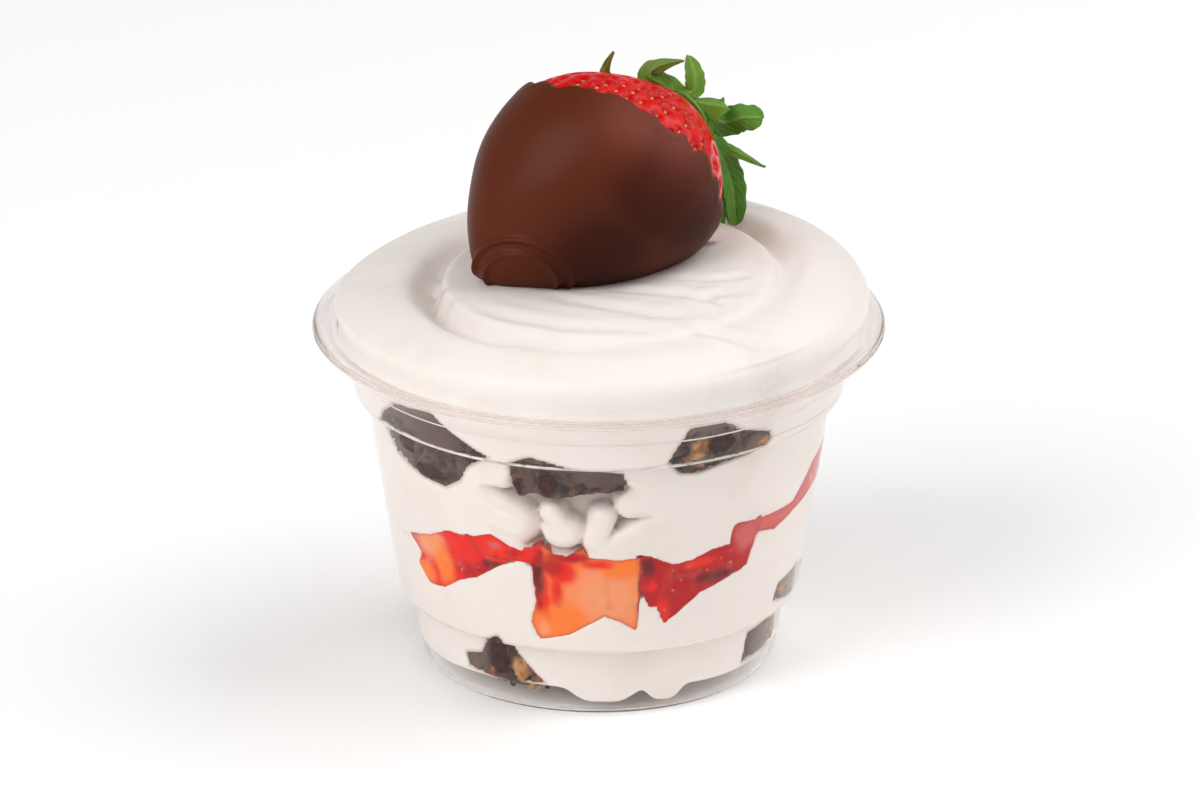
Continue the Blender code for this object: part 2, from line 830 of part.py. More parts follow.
def leaf_rows(number, leaf):
    """Points across a leaf, row by row to its tip, each with the direction in which its face looks."""
    start, edge = leaf_foot(number)
    points = [start, *(Vector(point) for point in leaf[0])]
    last = edge
    rows = []
    for step in range(LEAF_STEPS + 1):
        share = step / LEAF_STEPS
        middle = along_curve(points, share)
        run = (along_curve(points, share + 0.01) - along_curve(points, share - 0.01)).normalized()
        side = run.cross(Vector(leaf[2])).normalized()
        last = -side if side.dot(last) < 0 else side
        side = edge.lerp(last, min(share / 0.35, 1.0)).normalized()
        face = run.cross(side).normalized()
        if step == LEAF_STEPS:
            rows.append([(middle, face)])
            continue
        half = leaf[1] / 2 * (0.3 + 0.7 * math.sin(math.pi * (share * 0.75 + 0.1)))
        fold = face * (0.2 * half)
        rows.append([(middle + side * half * s + fold * abs(s), face) for s in (-1, 0, 1)])
    return rows


def calyx_sheet(mesh, lower):
    """One face of the calyx. The lower one lies a leaf's thickness beneath the upper one."""
    def corner(spot):
        place, face = spot
        return mesh.verts.new(place - face * LEAF_THICKNESS if lower else place)

    hub = hub_frame()
    centre = corner((hub @ Vector((0, 0, 0.8)), hub.to_3x3() @ Vector((0, 0, 1))))
    feet = []
    for number, leaf in enumerate(LEAVES):
        rows = [[corner(spot) for spot in row] for row in leaf_rows(number, leaf)]
        for (a, b, c), (d, e, f) in zip(rows[:-1], rows[1:-1]):
            for triangle in ((a, b, e), (a, e, d), (b, c, e), (c, f, e)):
                mesh.faces.new(triangle)
        a, b, c = rows[-2]
        mesh.faces.new((a, b, rows[-1][0]))
        mesh.faces.new((b, c, rows[-1][0]))
        feet.append(rows[0])
    for here, following in zip(feet, feet[1:] + feet[:1]):
        for pair in ((here[0], here[1]), (here[1], here[2]), (here[2], following[0])):
            mesh.faces.new((centre, pair[1], pair[0]))


def build_calyx(finish_material):
    """The green top: leaves that fold along their middle, joined by a small disc."""
    mesh = bmesh.new()
    calyx_sheet(mesh, False)
    calyx_sheet(mesh, True)
    rims = [edge for edge in mesh.edges if edge.is_boundary]
    bmesh.ops.bridge_loops(mesh, edges=rims)
    bmesh.ops.triangulate(mesh, faces=[face for face in mesh.faces if len(face.verts) > 3])
    return finish("calyx", mesh, finish_material, 60)


def build_creams(pieces_below, slices, pieces_above):
    cream = material("whipped_cream", (0.93, 0.88, 0.84), 0.45)
    rings = (0.0, 0.3, 0.6, 0.82, 0.92)
    lower = shaped_cream(
        "cream_lower",
        cream_puck(CREAM_SIDES, rings, (2, 1, 3), (0.0, 0.5)),
        lower_base,
        lambda angle, share: LOWER_TOP(angle, share) - HALF_GAP,
        wall_rows(LEDGES[0], LEDGES[0] + LEDGE_REACH),
        no_recess,
        cream,
    )
    cut(lower, pieces_below + slices)
    middle = shaped_cream(
        "cream_middle",
        crowd(cream_puck(CREAM_SIDES, (0.0, 0.5), (9, 1, 1), (0.0, 0.5)), HOLLOW[0], HOLLOW_CROWDING),
        lambda angle, share: LOWER_TOP(angle, share) + HALF_GAP,
        lambda angle, share: MIDDLE_TOP(angle, share) - HALF_GAP,
        wall_rows(LEDGES[1], LEDGES[1] + LEDGE_REACH),
        hollow_depth,
        cream,
    )
    cut(middle, slices + pieces_above)
    top = shaped_cream(
        "cream_top",
        cream_puck(CREAM_SIDES, (0.0, 0.5), (1, 1, 1, 1, 1, 3), SWIRL_RINGS),
        lambda angle, share: MIDDLE_TOP(angle, share) + HALF_GAP,
        swirl,
        wall_rows(LEDGES[1], CUP_HEIGHT),
        fold_depth,
        cream,
    )
    seat = finish("berry_seat", berry_body(-GAP), None)
    seat.hide_render = True
    seat.display_type = "WIRE"
    cut(top, pieces_above + [seat])
    return [seat]


def main():
    clear_scene()
    build_cup()
    brownie = material("brownie", (0.09, 0.05, 0.04), 0.5)
    fruit = material("strawberry_flesh", (0.75, 0.10, 0.06), 0.35)
    above = build_pieces("brownie_upper", BROWNIES_UPPER, BROWNIE_RELIEF, brownie)
    below = build_pieces("brownie_lower", BROWNIES_LOWER, BROWNIE_RELIEF, brownie)
    slices = build_pieces("strawberry_slice", SLICES, SLICE_RELIEF, fruit)
    helpers = build_creams(below, slices, above)
    skin = material("strawberry_skin", (0.70, 0.03, 0.03), 0.3)
    finish("strawberry", berry_body(COAT_THICKNESS + COAT_GAP), skin)
    build_coat(material("chocolate", (0.10, 0.04, 0.025), 0.35))
    build_calyx(material("strawberry_leaf", (0.12, 0.27, 0.05), 0.5))
    for helper in helpers + above + below + slices:
        bpy.data.objects.remove(helper, do_unlink=True)


main()
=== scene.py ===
"""The looks of a brownie dessert cup: a clear cup with layers of whipped cream, brownie and strawberry
slices, a swirl of cream over its rim and a strawberry dipped in chocolate on top.

Shapes are worked out in millimetres, with the cup's axis at the origin and the table at height zero,
and a finished piece is scaled to metres. The viewer is towards minus Y, and the angles round the cup
are counted from plus X, so the viewer is at -90.
"""

import math

import bmesh
import bpy
from bpy.props import FloatProperty, FloatVectorProperty, PointerProperty
from mathutils import Matrix, Vector, noise


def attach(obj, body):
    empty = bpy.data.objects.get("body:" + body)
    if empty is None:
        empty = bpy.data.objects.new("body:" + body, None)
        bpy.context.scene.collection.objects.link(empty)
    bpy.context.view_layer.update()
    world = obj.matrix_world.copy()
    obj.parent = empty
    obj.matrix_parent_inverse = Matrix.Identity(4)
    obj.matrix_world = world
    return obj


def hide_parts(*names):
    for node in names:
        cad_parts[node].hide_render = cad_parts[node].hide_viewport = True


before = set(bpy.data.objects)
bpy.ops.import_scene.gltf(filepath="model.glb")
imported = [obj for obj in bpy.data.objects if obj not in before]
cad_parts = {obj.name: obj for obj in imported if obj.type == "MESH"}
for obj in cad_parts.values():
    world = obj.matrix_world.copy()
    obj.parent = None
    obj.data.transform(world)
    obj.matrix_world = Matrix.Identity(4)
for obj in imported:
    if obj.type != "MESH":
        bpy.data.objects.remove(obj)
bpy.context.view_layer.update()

bl_info = {
    "name": "Brownie dessert cup",
    "version": (1, 0, 0),
    "blender": (4, 5, 0),
    "location": "3D View > Sidebar > Dessert cup",
    "description": "Builds a brownie dessert cup with a chocolate dipped strawberry",
    "category": "Add Mesh",
}

MM = 0.001
UP = Vector((0, 0, 1))

# The pieces' loose edges are drawn from this seed, so that each run gives the same ones.
NOISE_SEED = 7
noise.seed_set(NOISE_SEED)

# The cup, turned about Z. Each pair is a radius and a height. The corners of its profile are rounded,
# and each long run has a point near both ends, which keeps the shading straight.
CUP_HEIGHT = 60.8
WALL = 0.6
CUP_SIDES = 320
CORNER = 0.35
CORNER_STEPS = 5
SUPPORT = 0.9
FLOOR_UNDERSIDE = ((0.0, 2.6), (24.3, 2.4), (26.2, 0.7), (27.0, 0.0))
CUP_OUTSIDE = (
    (28.9, 0.0), (29.7, 0.5), (30.2, 1.5), (31.2, 5.8), (31.7, 12.2), (34.4, 13.4),
    (38.7, 40.2), (39.7, 48.6), (42.0, 49.7), (42.9, 54.5), (43.6, 55.6), (44.7, 58.9),
)
RIM = (
    (47.9, 59.3), (48.8, 59.7), (49.0, 60.2), (48.5, 60.8), (47.5, 60.7), (46.8, 60.2),
    (45.6, 60.3), (44.8, 59.9),
)

# The heights between which the plastic's colour deepens: above the foot, where a paler colour is painted
# light over the shade under the cup, and again at the rim, where the deeper colour is partly the thick
# plastic's own tint and partly painted reflection.
FOOT_SHADE = (3.0, 12.0)
RIM_SHADE = (57.0, 59.5)

# The ledges where the cup widens, as the heights between which the wall changes its slope.
LOWER_LEDGE = (12.0, 14.5)
UPPER_LEDGE = (48.4, 50.9)

# What fills the cup reaches this far into the wall, and a brownie or a slice a little further.
CREAM_BITE = 0.05
PIECE_BITE = 0.1

# Painted highlights: thin white rings of cream at the corners of the wall, which stand in for the highlights
# on the plastic's ridges: a height and half the thickness.
HIGHLIGHT_LINES = ((49.6, 0.2), (54.6, 0.2))

# Where one layer of cream ends and the next begins at the wall: an angle and a height.
LOWER_CREAM_TOP = (
    (-180, 29.0), (-152, 28.0), (-140, 27.0), (-115, 31.3), (-92, 29.0), (-72, 26.0), (-50, 30.0),
    (-38, 33.0), (-15, 37.0), (8, 36.5), (38, 29.0), (78, 26.5), (118, 28.0), (150, 31.0), (180, 29.0),
)
MIDDLE_CREAM_TOP = (
    (-180, 50.0), (-152, 49.5), (-135, 49.3), (-116, 49.8), (-98, 49.3), (-84, 49.3), (-73, 50.3),
    (-60, 51.5), (-46, 51.3), (-30, 51.0), (0, 50.5), (24, 49.4), (50, 50.5), (80, 49.4), (108, 50.5),
    (136, 51.0), (180, 50.0),
)
# The creams' points: how many there are round the cup, the shares of the radius of the rings on a base or
# a top, and how many rows there are between the heights at which the wall changes its slope.
CREAM_SIDES = 400
PLAIN_RINGS = (0.0, 0.5, 0.9)
LOWER_BASE_RINGS = (0.0, 0.4, 0.8, 0.85, 0.9, 0.94, 0.97, 0.99)
SWIRL_RINGS = (*(0.985 * step / 130 for step in range(131)), 0.992, 0.997)
LOWER_ROWS = (36, 3, 45)
MIDDLE_ROWS = (65, 3, 3)
TOP_ROWS = (3, 4, 12, 5, 8, 26)

# The height of the lower cream's underside, and how far one layer runs into the next.
CREAM_BASE = 3.3
OVERLAP = 0.1

# Chocolate rubbed off on the swirl beside the strawberry, and painted shade: in the groove round the mound,
# under the crease at the front, in the fold at the right and beside the strawberry. X, Y, how wide and how
# strong.
SMEARS_AND_PAINTED_SHADE = (
    (18.5, 5.5, 2.2, 0.95), (12.0, -0.5, 2.8, 0.5), (23.5, 13.0, 4.5, 0.45), (-26.4, 4.0, 2.6, 0.36),
    (-27.4, -2.0, 2.6, 0.42), (-26.8, -8.5, 2.6, 0.42), (-24.6, -14.5, 2.8, 0.32), (17.0, -31.5, 2.4, 0.25),
    (29.0, -33.5, 10.0, 0.28),
)

# The cream heaped over the rim, as a height at its edge, a rise and a lean to the back right. The mound
# in the middle is a centre and a radius, and the ring of points at MOUND_RING follows its edge. The
# groove round it has a width inside and one outside, and a depth at each angle.
HEAP_RADIUS = 44.5
EDGE_HEIGHT = 64.6
SWIRL_RISE = 7.2
SWIRL_LEAN = 2.2
SWIRL_SQUARENESS = 5.0
MOUND_RING = 0.67
MOUND = (1.2, -5.5, 29.1)
GROOVE_WIDTHS = (1.2, 2.8)
GROOVE_DEPTHS = (
    (-180, 5.0), (-150, 4.6), (-128, 2.6), (-108, 0.8), (-40, 0.5), (-10, 1.6), (30, 3.4), (110, 2.8),
    (150, 3.8), (180, 4.4),
)

# Where the ring has slumped: an angle, a width in degrees and a depth. The fold over the rim: an angle, a
# height, a half width in degrees, a half height and a depth. The lobes of the lower cream that hang
# beside the foot: an angle, a width in degrees and a drop.
SLUMP = (135, 45.0, 2.0)
FOLD = (-40, 64.0, 30.0, 4.2, 0.35)
LOBES = ((-88.5, 10.0, 2.6), (-68.5, 6.0, 2.5), (20, 8.0, 2.4), (130, 7.5, 2.5))

# Marks that the nozzle left on the swirl: points as X and Y, a half width and a depth.
STREAKS = (
    (((-28, -21), (-20, -28), (-8, -34.5), (10, -37)), 1.8, 0.45),
    (((-22, -17), (-16, -23), (-6, -29), (5, -31), (14, -31)), 1.6, 0.4),
    (((-10, -13), (0, -20), (9, -24.5), (20, -26)), 1.7, 0.45),
    (((0, -9), (9, -14), (17, -17.5), (27, -13.5)), 1.5, 0.45),
    (((10, -6), (18, -9.5), (26, -9.0)), 1.1, 0.35),
    (((15, -15), (19, -19.5), (21, -20.5)), 1.1, 0.45),
    (((13, -27.5), (24, -31.5), (33, -34.5)), 1.2, 0.8),
    (((30, 12), (33, 2), (31, -9)), 1.6, 0.35),
    (((10, 30), (20, 27), (27, 20)), 1.6, 0.4),
    (((-30, 20), (-18, 30), (-3, 34)), 1.6, 0.4),
)

# Piped ropes of cream behind the wall: the ends as an angle and a height, and the half width. They lie
# in a hollow: an angle, a height, a half width in degrees, a half height and a depth.
ROPES = (
    (-128.0, 40.6, -112.6, 37.2, 4.5), (-119.5, 46.0, -116.0, 45.6, 2.7),
    (-102.4, 39.8, -100.4, 37.6, 2.5), (-100.4, 36.2, -98.8, 36.2, 3.5), (-88.9, 39.2, -90.9, 34.4, 2.6),
    (-77.0, 37.0, -88.4, 33.2, 2.5), (-81.2, 41.7, -72.0, 42.5, 3.3),
)
HOLLOW = (-99.5, 40.0, 25.0, 8.5, 3.8)

# The outlines of the pieces against the wall, as angles and heights.
UPPER_LEFT = (
    (-143, 56.0), (-130.5, 57.0), (-126.5, 54.0), (-120, 51.5), (-116, 50.5), (-121.5, 48.0),
    (-125, 46.0), (-127, 43.5), (-132, 41.3), (-141, 41.7), (-151, 43.5), (-157, 47.0), (-150, 52.5),
)
UPPER_MIDDLE = (
    (-112, 50.0), (-106.5, 51.7), (-103.5, 51.3), (-95.5, 49.8), (-84, 48.2), (-83, 46.5),
    (-83.6, 44.6), (-93.5, 44.1), (-97, 43.5), (-102.5, 43.0), (-106, 43.7), (-111, 43.0), (-113, 48.0),
)
UPPER_RIGHT = (
    (-69.5, 57.3), (-61, 57.3), (-54.5, 54.5), (-46.5, 52.7), (-46, 51.0), (-49, 48.2), (-58, 47.5),
    (-64.5, 46.6), (-69.5, 47.0), (-74, 50.5), (-71, 54.5),
)
LOWER_LEFT = (
    (-137, 8.3), (-130, 9.3), (-127, 12.7), (-120, 14.8), (-116, 10.8), (-110.5, 7.6), (-106.5, 5.6),
    (-119, 4.7), (-128.5, 4.9), (-136, 5.6),
)
LOWER_RIGHT = ((-36, 10.6), (-23, 10.8), (-10, 9.4), (-2, 8.0), (-4, 5.4), (-21, 5.2), (-38, 4.9))
LOWER_SIDE = ((-31, 16.0), (-29.5, 19.2), (-16.5, 20.0), (-6, 18.5), (2, 16.5), (-4, 13.9), (-20, 14.4))
SLICE_LEFT = (
    (-152, 28.8), (-141, 30.7), (-134, 33.0), (-127, 33.0), (-122, 30.0), (-114, 29.9),
    (-124.5, 25.3), (-131, 23.6), (-137.5, 21.0), (-144.5, 20.3), (-149, 23.4), (-147, 26.0),
)
SLICE_THIN = (
    (-127, 33.0), (-119.5, 34.7), (-114, 33.0), (-110.5, 32.5), (-105.2, 33.7), (-104.8, 30.1),
    (-114, 29.9), (-122, 30.0),
)
SLICE_MIDDLE = (
    (-105.2, 33.7), (-102.4, 32.2), (-98.6, 32.0), (-93.9, 33.5), (-92.4, 32.0), (-84.5, 31.5),
    (-79, 31.7), (-78.5, 25.0), (-79, 17.0), (-84, 19.1), (-88.5, 20.2), (-98, 16.5), (-107, 15.2),
    (-109.4, 18.5), (-107.5, 22.8), (-108.4, 29.9), (-104.8, 30.1),
)
SLICE_RIGHT = (
    (-79, 31.7), (-77, 32.1), (-70, 29.8), (-65, 30.1), (-59, 31.4), (-53, 31.6), (-52.5, 35.4),
    (-43.8, 34.7), (-43.1, 32.0), (-46, 26.0), (-61, 23.1), (-68, 19.6), (-71.6, 18.0), (-74, 21.6),
    (-76.2, 21.7), (-78.5, 25.0),
)
SLICE_STRIP = (
    (-43.8, 34.7), (-29, 34.7), (-18.5, 40.0), (-8, 41.5), (4, 40.0), (8, 35.5), (-4, 34.2),
    (-13.6, 34.2), (-28, 32.3), (-36, 30.9), (-43.1, 32.0),
)

# What shows on the face of a brownie: an angle, a height, half sizes in degrees and millimetres, and what it
# is. A haze is a smooth face that stands clear of the wall, whose grey-brown is partly its own colour and
# partly painted reflection of the plastic, and a glaze is pressed against it.
FACES = {
    UPPER_LEFT: (
        (-138, 55.0, 15, 3.4, "haze"), (-131, 51.0, 8, 2.6, "haze"), (-127.4, 45.6, 2.0, 2.2, "haze"),
        (-137.5, 43.2, 6.5, 1.6, "glaze"), (-146, 47.0, 4.0, 2.2, "glaze"),
        (-121.5, 47.6, 1.6, 1.4, "glaze"),
    ),
    UPPER_MIDDLE: (
        (-90, 46.9, 7.0, 1.6, "haze"), (-94, 48.9, 10, 1.4, "haze"), (-104, 51.2, 8, 0.9, "haze"),
        (-107.8, 46.0, 1.4, 3.4, "haze"), (-102.8, 45.6, 3.0, 2.7, "glaze"),
        (-110.8, 44.6, 1.6, 1.6, "glaze"),
    ),
    UPPER_RIGHT: (
        (-64, 56.9, 8.5, 1.5, "haze"), (-50, 51.0, 4.0, 2.0, "haze"), (-60.8, 52.9, 4.6, 2.4, "glaze"),
        (-66.3, 52.5, 2.2, 2.5, "nut"), (-68.6, 50.4, 1.4, 0.7, "nut"), (-48.0, 50.9, 1.7, 0.9, "nut"),
        (-64.1, 48.1, 1.4, 0.7, "nut"), (-58.0, 56.0, 1.4, 0.7, "nut"),
    ),
    LOWER_LEFT: (
        (-134.5, 6.8, 3.6, 2.8, "haze"), (-129.2, 9.0, 1.7, 4.6, "haze"),
        (-122.8, 9.8, 4.2, 5.0, "glaze"), (-115.4, 7.8, 3.6, 2.4, "nut"), (-110.0, 6.2, 2.4, 0.9, "nut"),
        (-126.0, 6.0, 1.6, 0.8, "nut"),
    ),
    LOWER_RIGHT: (
        (-27, 7.5, 8, 3.0, "haze"), (-10, 7.5, 6, 2.5, "haze"), (-20, 9.3, 3, 0.8, "nut"),
        (-18, 6.6, 2, 0.8, "nut"),
    ),
    LOWER_SIDE: ((-16, 17.0, 13, 3.6, "haze"), (-24.5, 17.0, 2.6, 1.1, "nut"), (-18, 15.4, 2, 0.7, "nut")),
}

# The colours that run through the face of a slice, in the same way.
FLESH = {
    SLICE_LEFT: (
        (-150, 27.8, 4.5, 2.6, "rose"), (-141.5, 29.2, 7.0, 3.8, "peach"),
        (-145.5, 22.4, 5.0, 3.0, "orange"), (-136.5, 25.6, 3.8, 4.2, "orange"),
        (-125.0, 26.0, 7.5, 2.0, "crimson"), (-119.5, 28.4, 4.5, 1.2, "wine"),
    ),
    SLICE_THIN: (
        (-118.5, 32.4, 2.4, 0.7, "rose"), (-113.0, 31.4, 3.0, 0.8, "crimson"),
        (-105.8, 31.0, 2.0, 2.0, "crimson"),
    ),
    SLICE_MIDDLE: (
        (-88.0, 24.0, 12.0, 8.0, "peach"), (-84.0, 29.5, 6.0, 2.2, "orange"),
        (-97.5, 19.5, 5.0, 3.6, "orange"), (-103.0, 20.0, 2.6, 5.0, "orange"),
        (-104.8, 24.5, 1.6, 4.5, "scarlet"), (-101.6, 25.2, 2.0, 3.4, "scarlet"),
        (-99.8, 28.8, 4.6, 2.6, "scarlet"), (-102.6, 30.0, 3.4, 2.0, "crimson"),
        (-98.0, 31.9, 7.0, 1.2, "crimson"), (-90.5, 30.6, 5.0, 1.0, "scarlet"),
        (-106.8, 28.0, 2.2, 5.6, "wine"), (-106.4, 22.4, 1.0, 2.2, "crimson"),
        (-105.4, 17.4, 2.0, 1.8, "peach"), (-78.4, 24.5, 0.8, 8.0, "wine"),
    ),
    SLICE_RIGHT: (
        (-75.4, 25.8, 2.0, 1.1, "scarlet"), (-72.5, 20.8, 3.0, 2.6, "scarlet"),
        (-76.6, 29.6, 2.0, 2.0, "wine"), (-62.0, 29.2, 6.0, 1.0, "scarlet"),
        (-47.5, 32.6, 5.0, 3.6, "rose"), (-57.0, 25.8, 7.0, 1.4, "wine"),
    ),
    SLICE_STRIP: ((-12, 37.5, 22, 4.0, "rose"), (-33, 33.0, 12, 2.6, "rose")),
}

# The colour of a slice between those spots, and what the face of a brownie is made of.
BASE_FLESH = {
    SLICE_LEFT: "scarlet", SLICE_THIN: "scarlet", SLICE_MIDDLE: "orange", SLICE_RIGHT: "crimson",
    SLICE_STRIP: "rose",
}
FLESH_COLOURS = ("peach", "orange", "scarlet", "crimson", "wine", "rose")
FACE_PARTS = ("haze", "glaze", "nut", "ridge")

# The pieces at the back repeat the outlines: the outline, how far it is turned in degrees, whether it is
# mirrored first, and how deep the piece is.
BROWNIES_UPPER = (
    (UPPER_LEFT, 0, False, 11.0), (UPPER_MIDDLE, 0, False, 9.0), (UPPER_RIGHT, 0, False, 10.0),
    (UPPER_MIDDLE, 122, False, 9.5), (UPPER_LEFT, -57, True, 10.5), (UPPER_RIGHT, 76, True, 10.0),
)
BROWNIES_LOWER = (
    (LOWER_LEFT, 0, False, 9.0), (LOWER_RIGHT, 0, False, 8.0), (LOWER_SIDE, 0, False, 7.0),
    (LOWER_LEFT, -73, True, 9.0), (LOWER_LEFT, 221, False, 8.5), (LOWER_RIGHT, 172, False, 8.0),
)
SLICES = (
    (SLICE_LEFT, 0, False, 7.0), (SLICE_THIN, 0, False, 6.0), (SLICE_MIDDLE, 0, False, 8.0),
    (SLICE_RIGHT, 0, False, 7.0), (SLICE_STRIP, 0, False, 5.0), (SLICE_RIGHT, -26, True, 7.0),
    (SLICE_MIDDLE, 171, False, 8.0), (SLICE_LEFT, -15, True, 7.0), (SLICE_THIN, 276, False, 6.0),
)

# An outline is laid flat at this radius and cut into squares of one step. A piece has a ring of points at
# each of these depths and at its own. Its back is smaller than its front, and its edges are loosened.
PLAN_RADIUS = 36.0
BROWNIE_STEP = 0.5
SLICE_STEP = 0.55
PIECE_DEPTHS = (0.0, 0.5, 1.2, 2.4, 4.5)
BACK_TAPER = 0.82
BROWNIE_LOOSENING = 0.4
SLICE_LOOSENING = 0.3

# The cream stands back behind a piece, which counts a little way outside its outline too. The points of
# a layer past this share of its radius lie against the wall.
ROOM = 3.2
COVER_MARGIN = 2.0
AT_WALL = 0.98

# The seeds on the slices, as angles and heights, and the crumbs on the floor of the cup and on its
# ledge: an angle, how far in from the wall, a height and a size.
SLICE_SEEDS = (
    (-70.0, 28.6), (-65.4, 28.7), (-59.6, 27.4), (-69.6, 24.6), (-65.4, 23.2), (-73.0, 27.0),
    (-61.5, 25.0), (-55.5, 29.2), (-67.2, 26.4), (-52.0, 27.8), (-71.6, 21.0), (-99.5, 30.9),
    (-95.0, 31.0), (-124.0, 27.4), (-130.0, 26.0),
)
BROWNIE_CRUMBS = (
    (-120.4, 1.6, 3.9, 0.55), (-122.4, 0.9, 4.8, 0.5), (-126, 1.8, 4.2, 0.6), (-117, 2.6, 4.0, 0.5),
    (-108, 2.0, 4.0, 0.45), (-132, 1.2, 5.0, 0.5), (-24, 1.0, 12.9, 0.6), (-30, 0.8, 12.8, 0.5),
    (-14, 0.9, 12.9, 0.5), (-36, 1.6, 4.3, 0.6), (-8, 1.4, 4.2, 0.5), (10, 1.4, 4.2, 0.6),
    (60, 1.8, 4.0, 0.6), (75, 1.2, 4.6, 0.5), (150, 1.5, 4.1, 0.6), (172, 1.8, 4.1, 0.5),
)
NUT_CRUMBS = (
    (-113.0, 1.2, 4.3, 0.75), (-115.0, 1.0, 4.9, 0.55), (-110.5, 1.6, 4.1, 0.5), (-20, 1.1, 12.9, 0.5),
    (-27, 1.0, 13.0, 0.45), (64, 1.4, 4.3, 0.6), (156, 1.3, 4.3, 0.55),
)

# The strawberry lies on the cream with its tip towards the viewer's left. The chocolate's edge is given
# by how far up the axis it is at each angle round the strawberry.
BERRY_TIP = (-20.6, -8.0, 72.4)
BERRY_AXIS = (36.0, 21.6, 21.0)
BERRY_LENGTH = 48.6
BERRY_RADIUS = 19.8
BERRY_UPPER_SIDE = math.radians(56)
HUMP_SIDE = math.radians(78)
HUMP_PLACE = 31.0
HUMP_LENGTH = 9.5
HUMP_RISE = 1.1
BERRY_SIDES = 260
BERRY_ROWS = 170
COAT_ROWS = 180
COAT_INNER_ROWS = 40
COAT_THICKNESS = 1.1
BERRY_INSET = 0.85
DIP_LINE = (
    (-180, 41.0), (-165, 40.2), (-120, 38.5), (-60, 36.0), (-20, 32.0), (20, 29.0), (60, 26.8),
    (80, 27.3), (92, 28.3), (101, 30.2), (107, 32.4), (117, 34.2), (126, 35.8), (140, 36.6), (150, 38.2),
    (158, 39.0), (166, 39.6), (172, 40.7), (180, 41.0),
)

# The seeds in the skin: how far up the axis their first ring is, how far below the top they end, how far
# apart they are in a ring and the rings are, and a seed's half sizes. Then the size of its pit.
SEEDS_FROM = 22.0
SEEDS_END = 2.5
SEED_GAP = 3.3
SEED_RING_GAP = 2.3
SEED_SIZE = (0.45, 0.3, 0.22)
PIT_WIDTH = 0.95
PIT_DEPTH = 0.85

# The rings that the chocolate set in where the strawberry was stood to dry: their middle, and for each
# a radius, a half width and a height.
FOOT = (-13.6, -13.2, 70.6)
FOOT_RINGS = ((9.5, 0.5, 0.75), (7.1, 0.45, 0.6))

# Where shade is painted on the chocolate as a darker colour, and where a sheen is painted on it as a paler
# colour: the middle and the size.
PAINTED_SHADE_PLACES = ((11.0, -11.5, 87.0, 9.5), (17.0, -7.5, 80.0, 8.0), (1.0, -12.5, 77.0, 9.5))
PAINTED_SHEEN_PLACES = ((13.5, -6.5, 96.0, 8.0), (6.0, -7.5, 98.5, 7.0))

# Each leaf of the green top, in order round the stalk: the points that its middle runs through after
# its foot, its width, the direction in which it shows its face, how blunt it is, how sharply it folds,
# and how pale and how dry it is. The feet are spread evenly, from the first one's angle.
LEAVES = (
    (
        ((10.8, 19.6, 93.4), (5.4, 19.6, 95.2), (1.4, 17.2, 98.4), (1.3, 16.0, 101.2), (2.4, 16.0, 103.6)),
        2.2, (0, -1, 0.35), 2.0, 0.5, 0.3, 0.7,
    ),
    (
        ((11.8, 16.6, 96.7), (9.2, 15.8, 98.5), (8.8, 15.8, 99.8), (10.8, 15.3, 101.3), (14.5, 15.0, 102.2)),
        4.6, (0, -1, 0.35), 2.4, 0.4, 0.35, 0.3,
    ),
    (((16.3, 13.0, 97.6), (16.3, 13.0, 100.3), (15.4, 14.0, 103.5)), 3.1, (0, -1, 0.35), 8.0, 0.3, 0.5, 0.0),
    (((18.5, 12.0, 95.4), (20.6, 11.0, 95.5), (22.3, 11.0, 94.9)), 4.4, (0, -0.7, 0.7), 5.0, 0.9, 0.6, 0.0),
    (((21.0, 14.6, 91.2), (24.2, 14.0, 92.2), (28.0, 13.0, 92.6)), 4.8, (0, -1, 0.5), 12.0, 0.3, 0.0, 0.0),
    (((21.0, 16.0, 86.4), (23.8, 16.0, 85.0), (28.5, 15.0, 82.7)), 3.0, (0, -0.8, 0.6), 1.6, 0.3, 0.7, 0.0),
    (
        ((21.4, 16.0, 83.6), (23.0, 15.6, 78.4), (23.4, 16.0, 71.7)),
        4.6, (0.5, -0.85, 0.2), 11.0, 0.3, 0.0, 0.0,
    ),
    (
        ((19.5, 17.0, 81.5), (20.4, 17.4, 76.0), (20.6, 17.8, 70.3)),
        3.2, (0.4, -0.9, 0.2), 11.0, 0.3, 0.1, 0.0,
    ),
    (((17.3, 18.0, 88.2), (17.6, 20.5, 83.4)), 4.4, (0.7, 0.6, 0.3), 3.0, 0.3, 0.2, 0.0),
    (((15.0, 19.5, 90.3), (12.5, 22.6, 87.3), (10.6, 25.6, 84.0)), 4.6, (0.5, 0.8, 0.4), 2.4, 0.3, 0.1, 0.0),
    (((14.2, 19.0, 93.4), (12.4, 22.8, 93.4), (10.9, 26.4, 93.0)), 4.4, (0.3, 0.5, 0.8), 3.0, 0.3, 0.3, 0.1),
)
FIRST_FOOT = 30
HUB_RADIUS = 3.4
LEAF_THICKNESS = 0.45
LEAF_ROWS = 30
LEAF_COLUMNS = 12

# The colours that the patches, veins and marks of the finishes turn to, among them painted light at the cup's
# foot, painted shade on the cream, the crumb and the pits, and a painted sheen on the chocolate.
# Painted light: the paler plastic at the foot lifts the shade under the cup.
PAINTED_LIGHT_FOOT = (1.0, 0.98, 0.965)
# A brown for crumb and chocolate stains on the cream, and for the shade painted on it.
CHOCOLATE_STAIN_AND_SHADE = (0.26, 0.15, 0.09)
